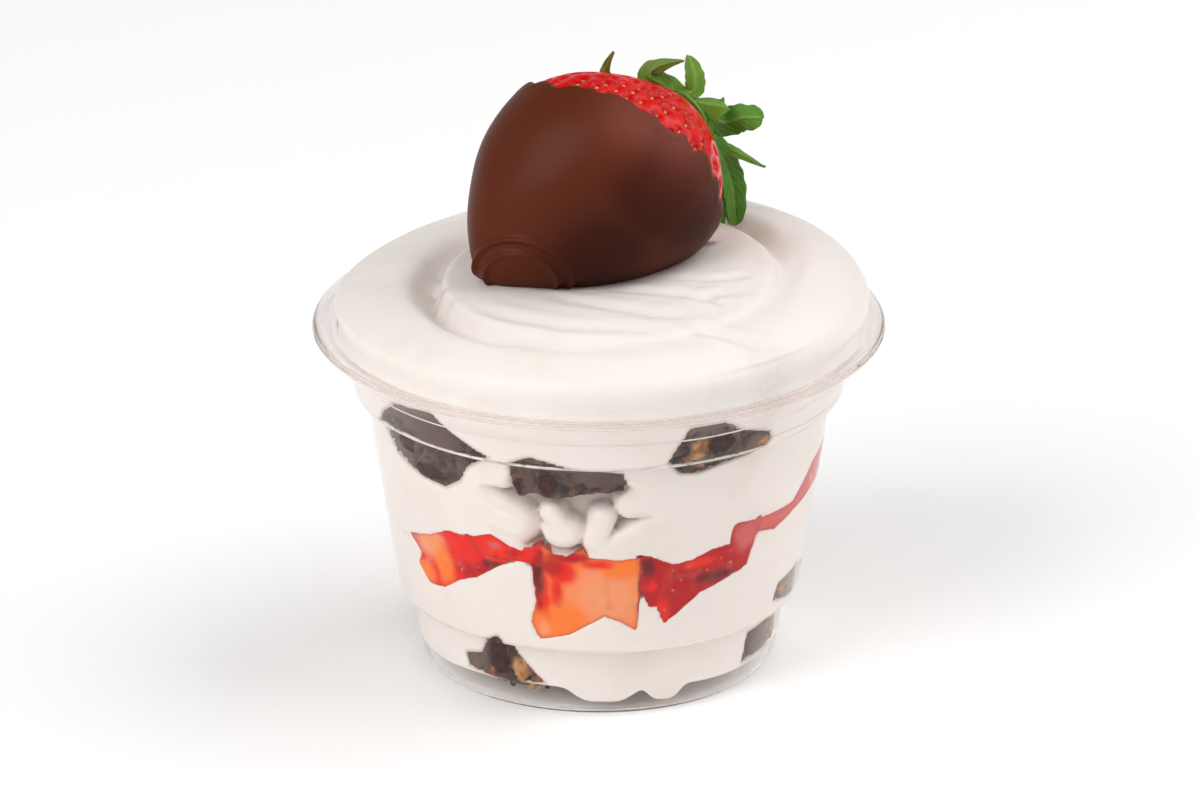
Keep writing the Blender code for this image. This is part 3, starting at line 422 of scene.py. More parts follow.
# A lighter crumb: the grain's paler bits, and the painted light on the crumb's ridges.
PALE_AND_LIT_CRUMB = (0.135, 0.060, 0.031)
LIGHT_FACE = (0.125, 0.070, 0.056)
LIGHT_GLAZE = (0.055, 0.009, 0.004)
TOASTED_NUT = (0.22, 0.075, 0.022)
LOOSE_TOASTED_NUT = (0.20, 0.08, 0.03)
FLESH_VEINS = (0.92, 0.22, 0.10)
DARK_FLESH = (0.36, 0.004, 0.006)
PALE_SEED = (0.80, 0.38, 0.10)
LIGHT_SKIN = (0.72, 0.012, 0.008)
PIT_SHADE = (0.28, 0.0, 0.003)
PALE_SHOULDER = (0.80, 0.34, 0.18)
# Painted sheen: the paler chocolate where the lamp's sheen is painted on.
PAINTED_SHEEN_CHOCOLATE = (0.27, 0.065, 0.045)
LIGHT_LEAF = (0.10, 0.27, 0.025)
PALE_LEAF = (0.23, 0.43, 0.045)
DRY_LEAF = (0.30, 0.20, 0.05)

# The stage, in metres: each lamp's name, place, size and power, where they aim, and how far the camera
# aims to the right of the middle of the rim and below it.
FLOOR_SIZE = 4.0
FLOOR_PATCHES = (0.95, 0.95, 0.95)
SKY_LOW = (0.62, 0.60, 0.59)
SKY_HIGH = (0.30, 0.30, 0.30)
LAMPS = (
    ("lamp_right", (0.95, 0.15, 1.0), (1.7,), 14.6),
    ("lamp_left", (-0.95, -0.82, 0.95), (1.2,), 14.6),
    ("lamp_front", (0.0, -0.5, 1.3), (1.6, 0.4), 3.0),
)
LAMP_AIM = (0, 0, 0.04)
CAMERA_AIM = (0.0002, 0.0139)


def colour_setting(name, description, default):
    return FloatVectorProperty(name=name, description=description, subtype="COLOR", default=default)


def share_setting(name, description, default, **limits):
    return FloatProperty(name=name, description=description, default=default, min=0, **limits)


class CupSettings(bpy.types.PropertyGroup):
    """The clear plastic cup."""

    wall: FloatProperty(
        name="Wall", description="Thickness of the plastic", default=WALL * MM, unit="LENGTH"
    )
    haze: share_setting("Haze", "Roughness of the clear plastic", 0.02, max=1)
    tint: colour_setting("Tint", "Colour of the clear plastic", (0.94, 0.90, 0.875))
    # The rim's deeper colour is partly the thick plastic's own tint and partly painted reflection.
    rim: colour_setting("Rim", "Colour of the thick rim", (0.86, 0.80, 0.775))


class CreamSettings(bpy.types.PropertyGroup):
    """The whipped cream."""

    colour: colour_setting("Cream", "Colour of the whipped cream", (0.83, 0.772, 0.73))
    shade: colour_setting("Shade", "Colour of the cream in its drier patches", (0.74, 0.65, 0.57))
    streaks: share_setting("Streaks", "How deep the nozzle's marks are, as a share", 1.0)


class BrownieSettings(bpy.types.PropertyGroup):
    """The pieces of brownie."""

    crumb: colour_setting("Crumb", "Colour of the torn brownie", (0.024, 0.0085, 0.0045))
    # The cut face's grey-brown is partly its own colour and partly painted reflection of the plastic.
    haze: colour_setting("Cut face", "Colour of a smooth face clear of the wall", (0.086, 0.045, 0.035))
    glaze: colour_setting("Glaze", "Colour of the moist parts of the brownie", (0.026, 0.0028, 0.0010))
    nut: colour_setting("Nut", "Colour of the bits of nut", (0.50, 0.26, 0.10))


class FruitSettings(bpy.types.PropertyGroup):
    """The strawberry and its slices."""

    peach: colour_setting("Peach", "The pale heart of a slice", (0.88, 0.31, 0.14))
    orange: colour_setting("Orange", "The flesh round the heart", (0.94, 0.20, 0.022))
    scarlet: colour_setting("Scarlet", "The red flesh", (0.80, 0.012, 0.005))
    crimson: colour_setting("Crimson", "The flesh under the skin", (0.46, 0.002, 0.004))
    wine: colour_setting("Wine", "The shaded edge of a slice", (0.12, 0.002, 0.009))
    rose: colour_setting("Rose", "The flesh seen through a film of cream", (0.62, 0.11, 0.10))
    skin: colour_setting("Skin", "The skin of the whole strawberry", (0.56, 0.002, 0.003))
    seed: colour_setting("Seed", "The seeds", (0.55, 0.10, 0.02))
    leaf: colour_setting("Leaf", "The green top", (0.046, 0.165, 0.005))
    rib: colour_setting("Rib", "The ribs and veins of the leaves", (0.26, 0.42, 0.09))


class ChocolateSettings(bpy.types.PropertyGroup):
    """The chocolate on the strawberry."""

    colour: colour_setting("Chocolate", "Colour of the set chocolate", (0.092, 0.0175, 0.0052))
    # Painted shade: this dark colour is laid where shade is painted on the chocolate.
    dark: colour_setting("Dark", "Colour where the chocolate is thick", (0.040, 0.0055, 0.0014))
    rings: share_setting("Rings", "Height of the rings near the tip, as a share", 1.0)


class StageSettings(bpy.types.PropertyGroup):
    """The floor, the lamps and the camera."""

    floor: colour_setting("Floor", "Colour of the floor", (1.0, 1.0, 1.0))
    sky: share_setting("Sky", "Strength of the even light", 0.76)
    lamps: share_setting("Lamps", "Strength of the lamps, as a share", 1.0)
    elevation: FloatProperty(
        name="Elevation", description="How far the camera looks down", default=math.radians(21.4),
        subtype="ANGLE",
    )
    distance: FloatProperty(
        name="Distance", description="From the camera to the middle of the rim", default=2.0,
        unit="LENGTH",
    )
    lens: FloatProperty(name="Lens", description="Focal length", default=351.42, unit="CAMERA")


SETTINGS = {
    "dessert_cup_plastic": CupSettings,
    "dessert_cup_cream": CreamSettings,
    "dessert_cup_brownie": BrownieSettings,
    "dessert_cup_fruit": FruitSettings,
    "dessert_cup_chocolate": ChocolateSettings,
    "dessert_cup_stage": StageSettings,
}


class Level:
    """A socket that varies over a surface. A sum written on it adds its nodes."""

    def __init__(self, finish, socket):
        self.finish = finish
        self.socket = socket

    def sum(self, operation, first, second):
        return self.finish.node("ShaderNodeMath", {"operation": operation}, {0: first, 1: second})

    def __add__(self, other):
        return self.sum("ADD", self, other)

    __radd__ = __add__

    def __sub__(self, other):
        return self.sum("SUBTRACT", self, other)

    def __rsub__(self, other):
        return self.sum("SUBTRACT", other, self)

    def __mul__(self, other):
        return self.sum("MULTIPLY", self, other)

    __rmul__ = __mul__


class Finish:
    """A material under construction."""

    def __init__(self, name):
        self.material = bpy.data.materials.new(name)
        self.material.use_nodes = True
        self.tree = self.material.node_tree
        self.shader = self.tree.nodes["Principled BSDF"]
        self.place = self.node("ShaderNodeTexCoord", {}, {}, "Object")

    def node(self, kind, settings, sockets, output=0):
        """Adds a node, sets it up, joins its sockets and returns one of its outputs."""
        made = self.tree.nodes.new(kind)
        for key, value in settings.items():
            if key == "stops":
                self.ramp_stops(made.color_ramp, value)
            else:
                setattr(made, key, value)
        for key, value in sockets.items():
            self.join(made.inputs[key], value)
        return Level(self, made.outputs[output])

    def join(self, socket, value):
        if isinstance(value, Level):
            self.tree.links.new(value.socket, socket)
        elif isinstance(socket.default_value, float):
            socket.default_value = value
        else:
            size = len(socket.default_value)
            socket.default_value = (*value, 1.0)[:size]

    def ramp_stops(self, ramp, stops):
        while len(ramp.elements) < len(stops):
            ramp.elements.new(1.0)
        for element, (place, colour) in zip(ramp.elements, stops):
            element.position = place
            element.color = (*colour, 1.0)

    def set(self, **sockets):
        """Sets the shader's own sockets, whose names are written with underscores."""
        for key, value in sockets.items():
            self.join(self.shader.inputs[key.replace("_", " ")], value)

    def noise(self, scale, detail=3.0, roughness=0.5, place=None):
        sockets = {"Vector": place or self.place, "Scale": scale, "Detail": detail}
        sockets["Roughness"] = roughness
        return self.node("ShaderNodeTexNoise", {}, sockets, "Fac")

    def patches(self, scale, low, high, detail=3.0, roughness=0.5):
        """Soft patches, as a share that runs from 0 to 1."""
        return self.between(self.noise(scale, detail, roughness), low, high)

    def cells(self, scale):
        sockets = {"Vector": self.place, "Scale": scale}
        return self.node("ShaderNodeTexVoronoi", {"feature": "F1"}, sockets, "Distance")

    def stretched(self, scale):
        """The place on the surface, with a pattern's size changed along each axis."""
        return self.node("ShaderNodeMapping", {}, {"Vector": self.place, "Scale": scale})

    def attribute(self, name, output="Fac"):
        return self.node("ShaderNodeAttribute", {"attribute_name": name}, {}, output)

    def between(self, value, low, high):
        """Turns a value into a share that runs from 0 at low to 1 at high."""
        sockets = {"Value": value, "From Min": low, "From Max": high}
        return self.node("ShaderNodeMapRange", {"interpolation_type": "SMOOTHSTEP"}, sockets)

    def blend(self, share, first, second):
        sockets = {0: share, 6: first, 7: second}
        return self.node("ShaderNodeMix", {"data_type": "RGBA"}, sockets, 2)

    def bump(self, height, distance, strength=1.0):
        sockets = {"Height": height, "Distance": distance, "Strength": strength}
        self.set(Normal=self.node("ShaderNodeBump", {}, sockets))


def mesh_data(name, mesh):
    """Hands a bmesh over to a mesh."""
    data = bpy.data.meshes.new(name)
    mesh.to_mesh(data)
    mesh.free()
    return data


def add_object(name, data):
    made = bpy.data.objects.new(name, data)
    bpy.context.scene.collection.objects.link(made)
    return made


def finish_piece(name, mesh, finish, nodes=(), smooth_angle=180):
    """Turns a bmesh in millimetres into a piece that stands for the named nodes."""
    bmesh.ops.scale(mesh, vec=(MM, MM, MM), verts=mesh.verts)
    bmesh.ops.recalc_face_normals(mesh, faces=mesh.faces)
    data = mesh_data(name, mesh)
    data.shade_smooth()
    if smooth_angle < 180:
        data.set_sharp_from_angle(angle=math.radians(smooth_angle))
    data.materials.append(finish.material)
    made = add_object(name, data)
    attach(made, "root")
    if nodes:
        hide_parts(*nodes)
    return made


def between(pairs, x):
    """Reads a smooth curve through the pairs at x."""
    if x <= pairs[0][0]:
        return pairs[0][1]
    for (x0, y0), (x1, y1) in zip(pairs, pairs[1:]):
        if x <= x1:
            share = (x - x0) / (x1 - x0)
            return y0 + (y1 - y0) * (3 - 2 * share) * share * share
    return pairs[-1][1]


def straight(pairs, x):
    """Reads straight lines through the pairs at x."""
    for (x0, y0), (x1, y1) in zip(pairs, pairs[1:]):
        if x <= x1:
            return y0 + (y1 - y0) * max(x - x0, 0.0) / (x1 - x0)
    return pairs[-1][1]


def unit(x):
    """Holds a number between 0 and 1."""
    return min(max(x, 0.0), 1.0)


def eased(x, low, high):
    """A share that runs softly from 0 at low to 1 at high."""
    share = unit((x - low) / (high - low))
    return share * share * (3 - 2 * share)


def bell(x):
    """A soft hill, which is 1 in its middle and falls off within about 2."""
    return math.exp(-(x**2))


def on_circle(radius, turn):
    return radius * math.cos(turn), radius * math.sin(turn)


def angle_distance(a, b):
    return (a - b + 180) % 360 - 180


def inset_profile(points, by):
    """The line that runs inside a profile at one wall thickness."""
    moved = []
    last = len(points) - 1
    for i, (r, z) in enumerate(points):
        r0, z0 = points[max(i - 1, 0)]
        r1, z1 = points[min(i + 1, last)]
        length = math.hypot(r1 - r0, z1 - z0)
        moved.append((max(r - by * (z1 - z0) / length, 0.0), z + by * (r1 - r0) / length))
    return moved


CUP_INSIDE = inset_profile(FLOOR_UNDERSIDE + CUP_OUTSIDE, WALL)
WALL_LINE = tuple((z, r) for r, z in CUP_INSIDE[len(FLOOR_UNDERSIDE) + 1 :])
WALL_TOP = WALL_LINE[-1][0]


def wall_radius(height):
    return straight(WALL_LINE, height)


def supported(profile):
    """Adds a point near both ends of each long run of a profile, which keeps the shading between them
    straight.
    """
    line = [profile[0]]
    for (r0, z0), (r1, z1) in zip(profile, profile[1:]):
        length = math.hypot(r1 - r0, z1 - z0)
        if length > 3 * SUPPORT:
            shares = (SUPPORT / length, 1 - SUPPORT / length)
            line += [(r0 + (r1 - r0) * share, z0 + (z1 - z0) * share) for share in shares]
        line.append((r1, z1))
    return line


def spin_round(mesh, geometry, steps):
    bmesh.ops.spin(
        mesh, geom=geometry, cent=(0, 0, 0), axis=(0, 0, 1), angle=math.tau, steps=steps, use_merge=True
    )


def spun(profile, sides, merge=1e-5, corners=()):
    """A closed shape turned about Z from a line that starts and ends on the axis. The points named as
    corners are rounded first.
    """
    mesh = bmesh.new()
    line = [mesh.verts.new((r, 0.0, z)) for r, z in profile]
    for pair in zip(line, line[1:]):
        mesh.edges.new(pair)
    rounded = [vert for vert, spot in zip(line, profile) if spot in corners]
    if rounded:
        bmesh.ops.bevel(
            mesh, geom=rounded, offset=CORNER, segments=CORNER_STEPS, profile=0.5, affect="VERTICES",
            material=-1, clamp_overlap=True,
        )
    spin_round(mesh, mesh.verts[:] + mesh.edges[:], sides)
    bmesh.ops.remove_doubles(mesh, verts=mesh.verts, dist=merge)
    return mesh


def plastic_finish(settings):
    """Clear plastic, whose colour is deeper in the thick rim, partly as the thick plastic's own tint and
    partly as painted reflection, and paler at the foot, as painted light over the shade under the cup. Light
    that spreads from the lamps and from the cream passes straight through it.
    """
    finish = Finish("clear_plastic")
    stops = ((0.0, PAINTED_LIGHT_FOOT), (0.5, settings.tint), (1.0, settings.rim))
    thick = finish.attribute("thick")
    finish.set(Base_Color=finish.node("ShaderNodeValToRGB", {"stops": stops}, {"Fac": thick}))
    finish.set(Roughness=settings.haze, Transmission_Weight=1.0, IOR=1.32)
    through = finish.tree.nodes.new("ShaderNodeBsdfTransparent")
    shown = finish.shader.outputs[0]
    for ray in ("Is Diffuse Ray", "Is Shadow Ray"):
        path = finish.node("ShaderNodeLightPath", {}, {}, ray)
        mixed = finish.node("ShaderNodeMixShader", {}, {0: path}).socket
        finish.tree.links.new(shown, mixed.node.inputs[1])
        finish.tree.links.new(through.outputs[0], mixed.node.inputs[2])
        shown = mixed
    finish.tree.links.new(shown, finish.tree.nodes["Material Output"].inputs["Surface"])
    return finish


def build_cup(settings):
    outside = FLOOR_UNDERSIDE + CUP_OUTSIDE
    inside = inset_profile(outside, settings.wall / MM)
    corners = FLOOR_UNDERSIDE[1:] + CUP_OUTSIDE + RIM
    mesh = spun(supported(outside + RIM + tuple(reversed(inside))), CUP_SIDES, 0.002, corners)
    thick = mesh.verts.layers.float.new("thick")
    for vert in mesh.verts:
        # Painted light at the foot, the plastic's tint on the wall, and at the rim a deeper colour that is
        # partly painted reflection.
        vert[thick] = (eased(vert.co.z, *FOOT_SHADE) + eased(vert.co.z, *RIM_SHADE)) / 2
    finish_piece("clear_cup", mesh, plastic_finish(settings), ["cup"], 24)


def flat_outline(outline, turn, mirrored):
    """An outline laid flat, turned about the cup, after a mirror where one is asked for."""
    if mirrored:
        outline = [(-angle, height) for angle, height in reversed(outline)]
    return [Vector((math.radians(angle + turn) * PLAN_RADIUS, height)) for angle, height in outline]


def inside_by(points, spot):
    """How far a spot is inside an outline on paper. It is negative outside."""
    nearest = 1e9
    within = False
    for a, b in zip(points, points[1:] + points[:1]):
        run = b - a
        share = min(max((spot - a).dot(run) / run.length_squared, 0.0), 1.0)
        nearest = min(nearest, (spot - a - run * share).length)
        if (a.y > spot.y) != (b.y > spot.y) and spot.x < a.x + run.x * (spot.y - a.y) / run.y:
            within = not within
    return nearest if within else -nearest


class Cover:
    """The pieces that a layer of cream makes room for."""

    def __init__(self, *kinds):
        self.outlines = []
        for pieces in kinds:
            for outline, turn, mirrored, _ in pieces:
                points = flat_outline(outline, turn, mirrored)
                middle = sum((p.x for p in points)) / len(points)
                reach = max(abs(p.x - middle) for p in points) + COVER_MARGIN
                low = min(p.y for p in points) - COVER_MARGIN
                high = max(p.y for p in points) + COVER_MARGIN
                self.outlines.append((points, middle, reach, low, high))

    def depth_inside(self, angle, height):
        """How far inside the pieces a point of the wall is, or how far outside, as a negative. A point
        between two that meet is inside.
        """
        best = second = -COVER_MARGIN
        full = math.tau * PLAN_RADIUS
        x = math.radians(angle) * PLAN_RADIUS
        for points, middle, reach, low, high in self.outlines:
            off = (x - middle + full / 2) % full - full / 2
            if abs(off) < reach and low < height < high:
                inside = inside_by(points, Vector((middle + off, height)))
                best, second = max(best, inside), max(min(best, inside), second)
        return best + 2.0 * max(second + 0.7, 0.0)


UPPER_COVER = Cover(BROWNIES_UPPER)
SLICE_COVER = Cover(SLICES)
LOWER_COVER = Cover(BROWNIES_LOWER)


def room_for(covers, angle, height):
    """How far the cream stands back behind the pieces against the wall."""
    inside = max(cover.depth_inside(angle, height) for cover in covers)
    return ROOM * eased(inside, 0.15, 1.1)


def rope_cover(angle, height):
    """How far the ropes of cream fill the hollow at a point of the wall, from 0 to 1."""
    best = 0.0
    scale = math.radians(1) * PLAN_RADIUS
    for a0, z0, a1, z1, half in ROPES:
        start = Vector((angle_distance(a0, angle) * scale, z0 - height))
        run = Vector((a1 - a0, 0)) * scale + Vector((0, z1 - z0))
        share = unit(-start.dot(run) / run.length_squared)
        away = (start + run * share).length / half
        best = max(best, max(1 - away**4, 0.0) ** 0.6)
    return best


def hollow_depth(angle, height):
    """How far the middle cream stands back from the wall."""
    a0, z0, wide, high, depth = HOLLOW
    across = angle_distance(angle, a0) / wide
    up = (height - z0) / high
    share = 1 - across * across - up * up
    return depth * eased(share, 0.0, 0.4) * (1 - rope_cover(angle, height)) if share > 0 else 0.0


def cream_puck(base_rings, rows, top_rings):
    """A unit puck whose rings are later shaped: X and Y hold the share of the radius, and Z counts the
    marks passed on the way up the wall.
    """
    profile = [(share, 0.0) for share in base_rings]
    for mark, count in enumerate(rows):
        profile += [(1.0, mark + step / count) for step in range(count)]
    marks = float(len(rows))
    profile.append((1.0, marks))
    profile += [(share, marks) for share in reversed(top_rings)]
    return spun(profile, CREAM_SIDES)


def wall_rows(low, high):
    """The heights between low and high at which the inside of the wall changes its slope."""
    return [z for z, _ in WALL_LINE if low < z < high]


def height_at(low, high, marks, count):
    """The height of a row: marks are the fixed heights between low and high, and count is how many of
    them are passed.
    """
    last = len(marks) + 1
    stops = [low, *marks, high]
    stops = [min(max(z, low + 0.02 * i), high - 0.02 * (last - i)) for i, z in enumerate(stops)]
    below = min(int(count), last - 1)
    return stops[below] + (stops[below + 1] - stops[below]) * (count - below)


def shaped_cream(name, puck, levels, marks, reach, finish, node, stain):
    """Moves each point of a puck between its base and its top, out to the reach."""
    base, top = levels
    stain_and_shade_layer = puck.verts.layers.float.new("stain")
    for vert in puck.verts:
        share = min(math.hypot(vert.co.x, vert.co.y), 1.0)
        angle = math.degrees(math.atan2(vert.co.y, vert.co.x)) if share > 1e-6 else 0.0
        share = along_mound(angle, share)
        height = height_at(base(angle, share), top(angle, share), marks, vert.co.z)
        radius = reach(angle, height, share)
        vert.co = (*on_circle(radius, math.radians(angle)), height)
        # Crumb and chocolate stains, and painted shade, which turn the cream's colour brown.
        vert[stain_and_shade_layer] = stain(angle, height, share, vert.co)
    finish_piece(name, puck, finish, [node])


def lower_base(angle, share):
    """The underside rests on the raised floor and hangs in lobes into the groove by the wall."""
    edge = max((share - 0.86) / 0.14, 0.0)
    hang = sum(
        drop * math.exp(-((angle_distance(angle, at) / wide) ** 4)) for at, wide, drop in LOBES
    )
    lift = 1.5 + 0.5 * math.sin(math.radians(angle * 3 + 40))
    lift += 0.35 * noise.noise(Vector((*on_circle(5, math.radians(angle)), 0)))
    return CREAM_BASE + edge * (lift - hang)


def layer_top(levels, middle):
    def height(angle, share):
        return middle + (between(levels, angle) - middle) * share * share

    return height


LOWER_TOP = layer_top(LOWER_CREAM_TOP, 30.0)
MIDDLE_TOP = layer_top(MIDDLE_CREAM_TOP, 50.0)


def mound_edge(angle):
    """How far from the cup's axis the edge of the inner mound is."""
    turn = math.radians(angle)
    ahead = MOUND[0] * math.cos(turn) + MOUND[1] * math.sin(turn)
    aside = MOUND[0] * math.sin(turn) - MOUND[1] * math.cos(turn)
    return ahead + math.sqrt(MOUND[2] ** 2 - aside**2)


def along_mound(angle, share):
    """Shifts the rings of a puck so that one of them runs along the edge of the inner mound."""
    shift = mound_edge(angle) / HEAP_RADIUS - MOUND_RING
    weight = share / MOUND_RING if share < MOUND_RING else (1 - share) / (1 - MOUND_RING)
    return share + shift * weight


def swirl(angle, share):
    """The height of the heaped cream: a broad ring, a groove round an inner mound, and the mound."""
    turn = math.radians(angle)
    edge = (1 - share**SWIRL_SQUARENESS) ** 0.6
    ring = EDGE_HEIGHT + SWIRL_RISE * edge + SWIRL_LEAN * math.cos(turn - 0.4) * share * edge
    ring += 0.4 * math.sin(3 * turn + 0.4) * share * edge
    slumped, wide, deep = SLUMP
    ring -= deep * share**2 * bell(angle_distance(angle, slumped) / wide)
    outside = HEAP_RADIUS * share - mound_edge(angle)
    width = GROOVE_WIDTHS[0] if outside < 0 else GROOVE_WIDTHS[1]
    return ring - between(GROOVE_DEPTHS, angle) * bell(outside / width) - 3.0 * bell(share / 0.3)


def line_distance(points, spot):
    """How far a spot is from a line of points, and how far along the line, from 0 to 1."""
    nearest, along = 1e9, 0.0
    for i, (a, b) in enumerate(zip(points, points[1:])):
        a, b = Vector(a), Vector(b)
        run = b - a
        share = min(max((spot - a).dot(run) / run.length_squared, 0.0), 1.0)
        away = (spot - a - run * share).length
        if away < nearest:
            nearest, along = away, (i + share) / (len(points) - 1)
    return nearest, along


def streaks(x, y):
    """How deep the nozzle's marks are at a place on the swirl. Each has a low ridge beside it."""
    depth = 0.0
    for points, half, deep in STREAKS:
        away, along = line_distance(points, Vector((x, y)))
        if away < 4 * half:
            fade = min(1.0, 4 * along, 4 * (1 - along))
            away /= half
            depth += deep * fade * (bell(away) - 0.45 * bell(away - 2))
    return depth


def heap_top(settings):
    """The finished surface of the heaped cream."""

    def height(angle, share):
        x, y = on_circle(HEAP_RADIUS * share, math.radians(angle))
        soft = 0.35 * noise.noise(Vector((x * 0.09, y * 0.09, 1.0)))
        soft += 0.10 * noise.noise(Vector((x * 0.3, y * 0.3, 4.0)))
        edge = 1 - share**6
        return swirl(angle, share) + (soft - settings.streaks * streaks(x, y)) * edge

    return height


def heap_reach(angle, height):
    """How far the cream stands out past the wall above the rim."""
    turn = math.radians(angle)
    bulge = 1.5 + 0.5 * math.cos(turn) + 0.8 * math.sin(turn)
    return bulge * math.sin(unit((height - CUP_HEIGHT - 0.2) / 3.5) * math.pi / 2)


def fold_depth(angle, height):
    """The shaded fold over the rim at the viewer's right, under a lip of cream."""
    a0, z0, wide, high, depth = FOLD
    across = angle_distance(angle, a0) / wide
    up = (height - z0 - 0.09 * angle_distance(a0, angle)) / high
    return depth * max(1 - across * across, 0.0) * max(1 - up * up, 0.0)


def cream_finish(settings):
    """Soft whipped cream with fine pores, a little drier and darker in patches."""
    finish = Finish("whipped_cream")
    patches = finish.patches(90, 0.45, 0.75, 4, 0.55)
    # Crumb and chocolate stains, and painted shade: under the lower cream, in the hollow between the ropes,
    # in the groove round the mound, under the crease, in the fold and beside the strawberry.
    stain = finish.between(finish.attribute("stain") + (finish.noise(900, 3) - 0.5) * 0.25, 0.08, 1.0)
    colour = finish.blend(patches * 0.35, settings.colour, settings.shade)
    colour = finish.blend(stain * 0.85, colour, CHOCOLATE_STAIN_AND_SHADE)
    finish.set(Base_Color=colour, Roughness=0.42 + patches * 0.15, Specular_IOR_Level=0.35)
    finish.set(Subsurface_Weight=0.2, Subsurface_Scale=0.0015, Subsurface_Radius=(1.0, 0.75, 0.6))
    finish.bump(finish.noise(1100, 3, 0.6) * 0.6 + finish.noise(320, 2) * 0.4, 0.00012, 0.5)
    return finish


def crumb_stain(cover, angle, height, share):
    """Crumbs stain the cream beside the brownies."""
    return 0.55 * eased(cover.depth_inside(angle, height), -0.9, 0.2) if share >= AT_WALL else 0.0


def lower_stain_and_shade(angle, height, share, place):
    """Painted shade: the underside of the lower cream, where it hangs over the groove, is painted darker and
    browner.
    """
    # Painted shade under the hanging cream.
    under = 0.4 * eased(share, 0.3, 0.7) * (1 - eased(share, 0.95, 0.985)) * (1 - eased(height, 8, 9))
    return max(under, crumb_stain(LOWER_COVER, angle, height, share))


def middle_stain_and_shade(angle, height, share, place):
    """Painted shade: the deep parts of the hollow between the ropes of cream are painted darker."""
    # Painted shade in the hollow.
    deep = 0.13 * hollow_depth(angle, height) if share > AT_WALL else 0.0
    return max(deep, crumb_stain(UPPER_COVER, angle, height, share))


def top_stain_and_shade(angle, height, share, place):
    """Chocolate that has rubbed off on the cream beside the strawberry, and painted shade in the groove round
    the mound, under the crease, in the fold and beside the strawberry.
    """
    smear_and_shade = crumb_stain(UPPER_COVER, angle, height, share)
    for x, y, wide, strong in SMEARS_AND_PAINTED_SHADE:
        away = math.hypot((place[0] - x) / wide, (place[1] - y) / (0.6 * wide))
        smear_and_shade = max(smear_and_shade, strong * bell(away))
    return smear_and_shade


# Painted highlights: rings of cream along the corners of the wall, in place of the plastic's highlights.
def build_painted_highlight_lines(finish):
    mesh = bmesh.new()
    for height, half in HIGHLIGHT_LINES:
        made = bmesh.ops.create_circle(mesh, segments=10, radius=half)["verts"]
        edges = list({edge for vert in made for edge in vert.link_edges})
        for vert in made:
            vert.co = (wall_radius(height) + vert.co.x, 0.0, height + vert.co.y)
        spin_round(mesh, made + edges, CUP_SIDES)
    for vert in mesh.verts:
        vert.co += noise.noise_vector(vert.co * 0.15) * 0.06
    finish_piece("painted_highlight_lines", mesh, finish)


def build_creams(settings):
    finish = cream_finish(settings)

    def wall_reach(covers, extra=lambda angle, height: 0.0):
        def reach(angle, height, share):
            full = wall_radius(min(height, WALL_TOP)) + CREAM_BITE + heap_reach(angle, height)
            if share < AT_WALL:
                return share * full
            return share * (full - max(room_for(covers, angle, height), extra(angle, height)))

        return reach

    shaped_cream(
        "lower_cream",
        cream_puck(LOWER_BASE_RINGS, LOWER_ROWS, PLAIN_RINGS),
        (lower_base, lambda angle, share: LOWER_TOP(angle, share) + OVERLAP),
        wall_rows(*LOWER_LEDGE), wall_reach([LOWER_COVER, SLICE_COVER]), finish, "cream_lower",
        lower_stain_and_shade,
    )
    shaped_cream(
        "middle_cream",
        cream_puck(PLAIN_RINGS, MIDDLE_ROWS, PLAIN_RINGS),
        (
            lambda angle, share: LOWER_TOP(angle, share) - OVERLAP,
            lambda angle, share: MIDDLE_TOP(angle, share) + OVERLAP,
        ),
        wall_rows(*UPPER_LEDGE), wall_reach([SLICE_COVER, UPPER_COVER], hollow_depth), finish,
        "cream_middle", middle_stain_and_shade,
    )
    # The painted highlight rings, made of cream.
    build_painted_highlight_lines(finish)
    shaped_cream(
        "top_cream",
        cream_puck(PLAIN_RINGS, TOP_ROWS, SWIRL_RINGS),
        (lambda angle, share: MIDDLE_TOP(angle, share) - OVERLAP, heap_top(settings)),
        wall_rows(UPPER_LEDGE[0], CUP_HEIGHT), wall_reach([UPPER_COVER], fold_depth), finish,
        "cream_top", top_stain_and_shade,
    )


def gridded_block(piece, step):
    """A flat-sided block that has a piece's outline, cut into small squares, with a ring of points at
    each depth.
    """
    mesh = bmesh.new()
    mesh.faces.new([mesh.verts.new((p.x, PIECE_DEPTHS[0], p.y)) for p in flat_outline(*piece[:3])])
    for axis in (Vector((1, 0, 0)), UP):
        places = [axis.dot(vert.co) for vert in mesh.verts]
        at = math.ceil(min(places) / step) * step
        while at < max(places):
            geometry = mesh.verts[:] + mesh.edges[:] + mesh.faces[:]
            bmesh.ops.bisect_plane(mesh, geom=geometry, dist=0.06, plane_co=axis * at, plane_no=axis)
            at += step
    faces = mesh.faces[:]
    for depth in (*PIECE_DEPTHS[1:], piece[3]):
        made = bmesh.ops.extrude_face_region(mesh, geom=faces, use_keep_orig=True)
        for item in made["geom"]:
            if isinstance(item, bmesh.types.BMVert):
                item.co.y = depth
        if depth != PIECE_DEPTHS[1]:
            bmesh.ops.delete(mesh, geom=faces, context="FACES")
        faces = [item for item in made["geom"] if isinstance(item, bmesh.types.BMFace)]
    return mesh


def off_spot(spot, angle, height):
    """How far a place is from the middle of a spot, whose edge is at 1."""
    return math.hypot((angle - spot[0]) / spot[2], (height - spot[1]) / spot[3])


def hard_spot(spot, angle, height):
    """How far a spot with an uneven edge covers a place, from 0 to 1."""
    away = off_spot(spot, angle, height)
    if away > 1.6:
        return 0.0
    away += 0.22 * noise.noise(Vector((angle * 0.35, height * 0.6, 2.0)))
    away += 0.10 * noise.noise(Vector((angle * 1.1, height * 1.9, 5.0)))
    return 1 - eased(away, 0.8, 1.05)


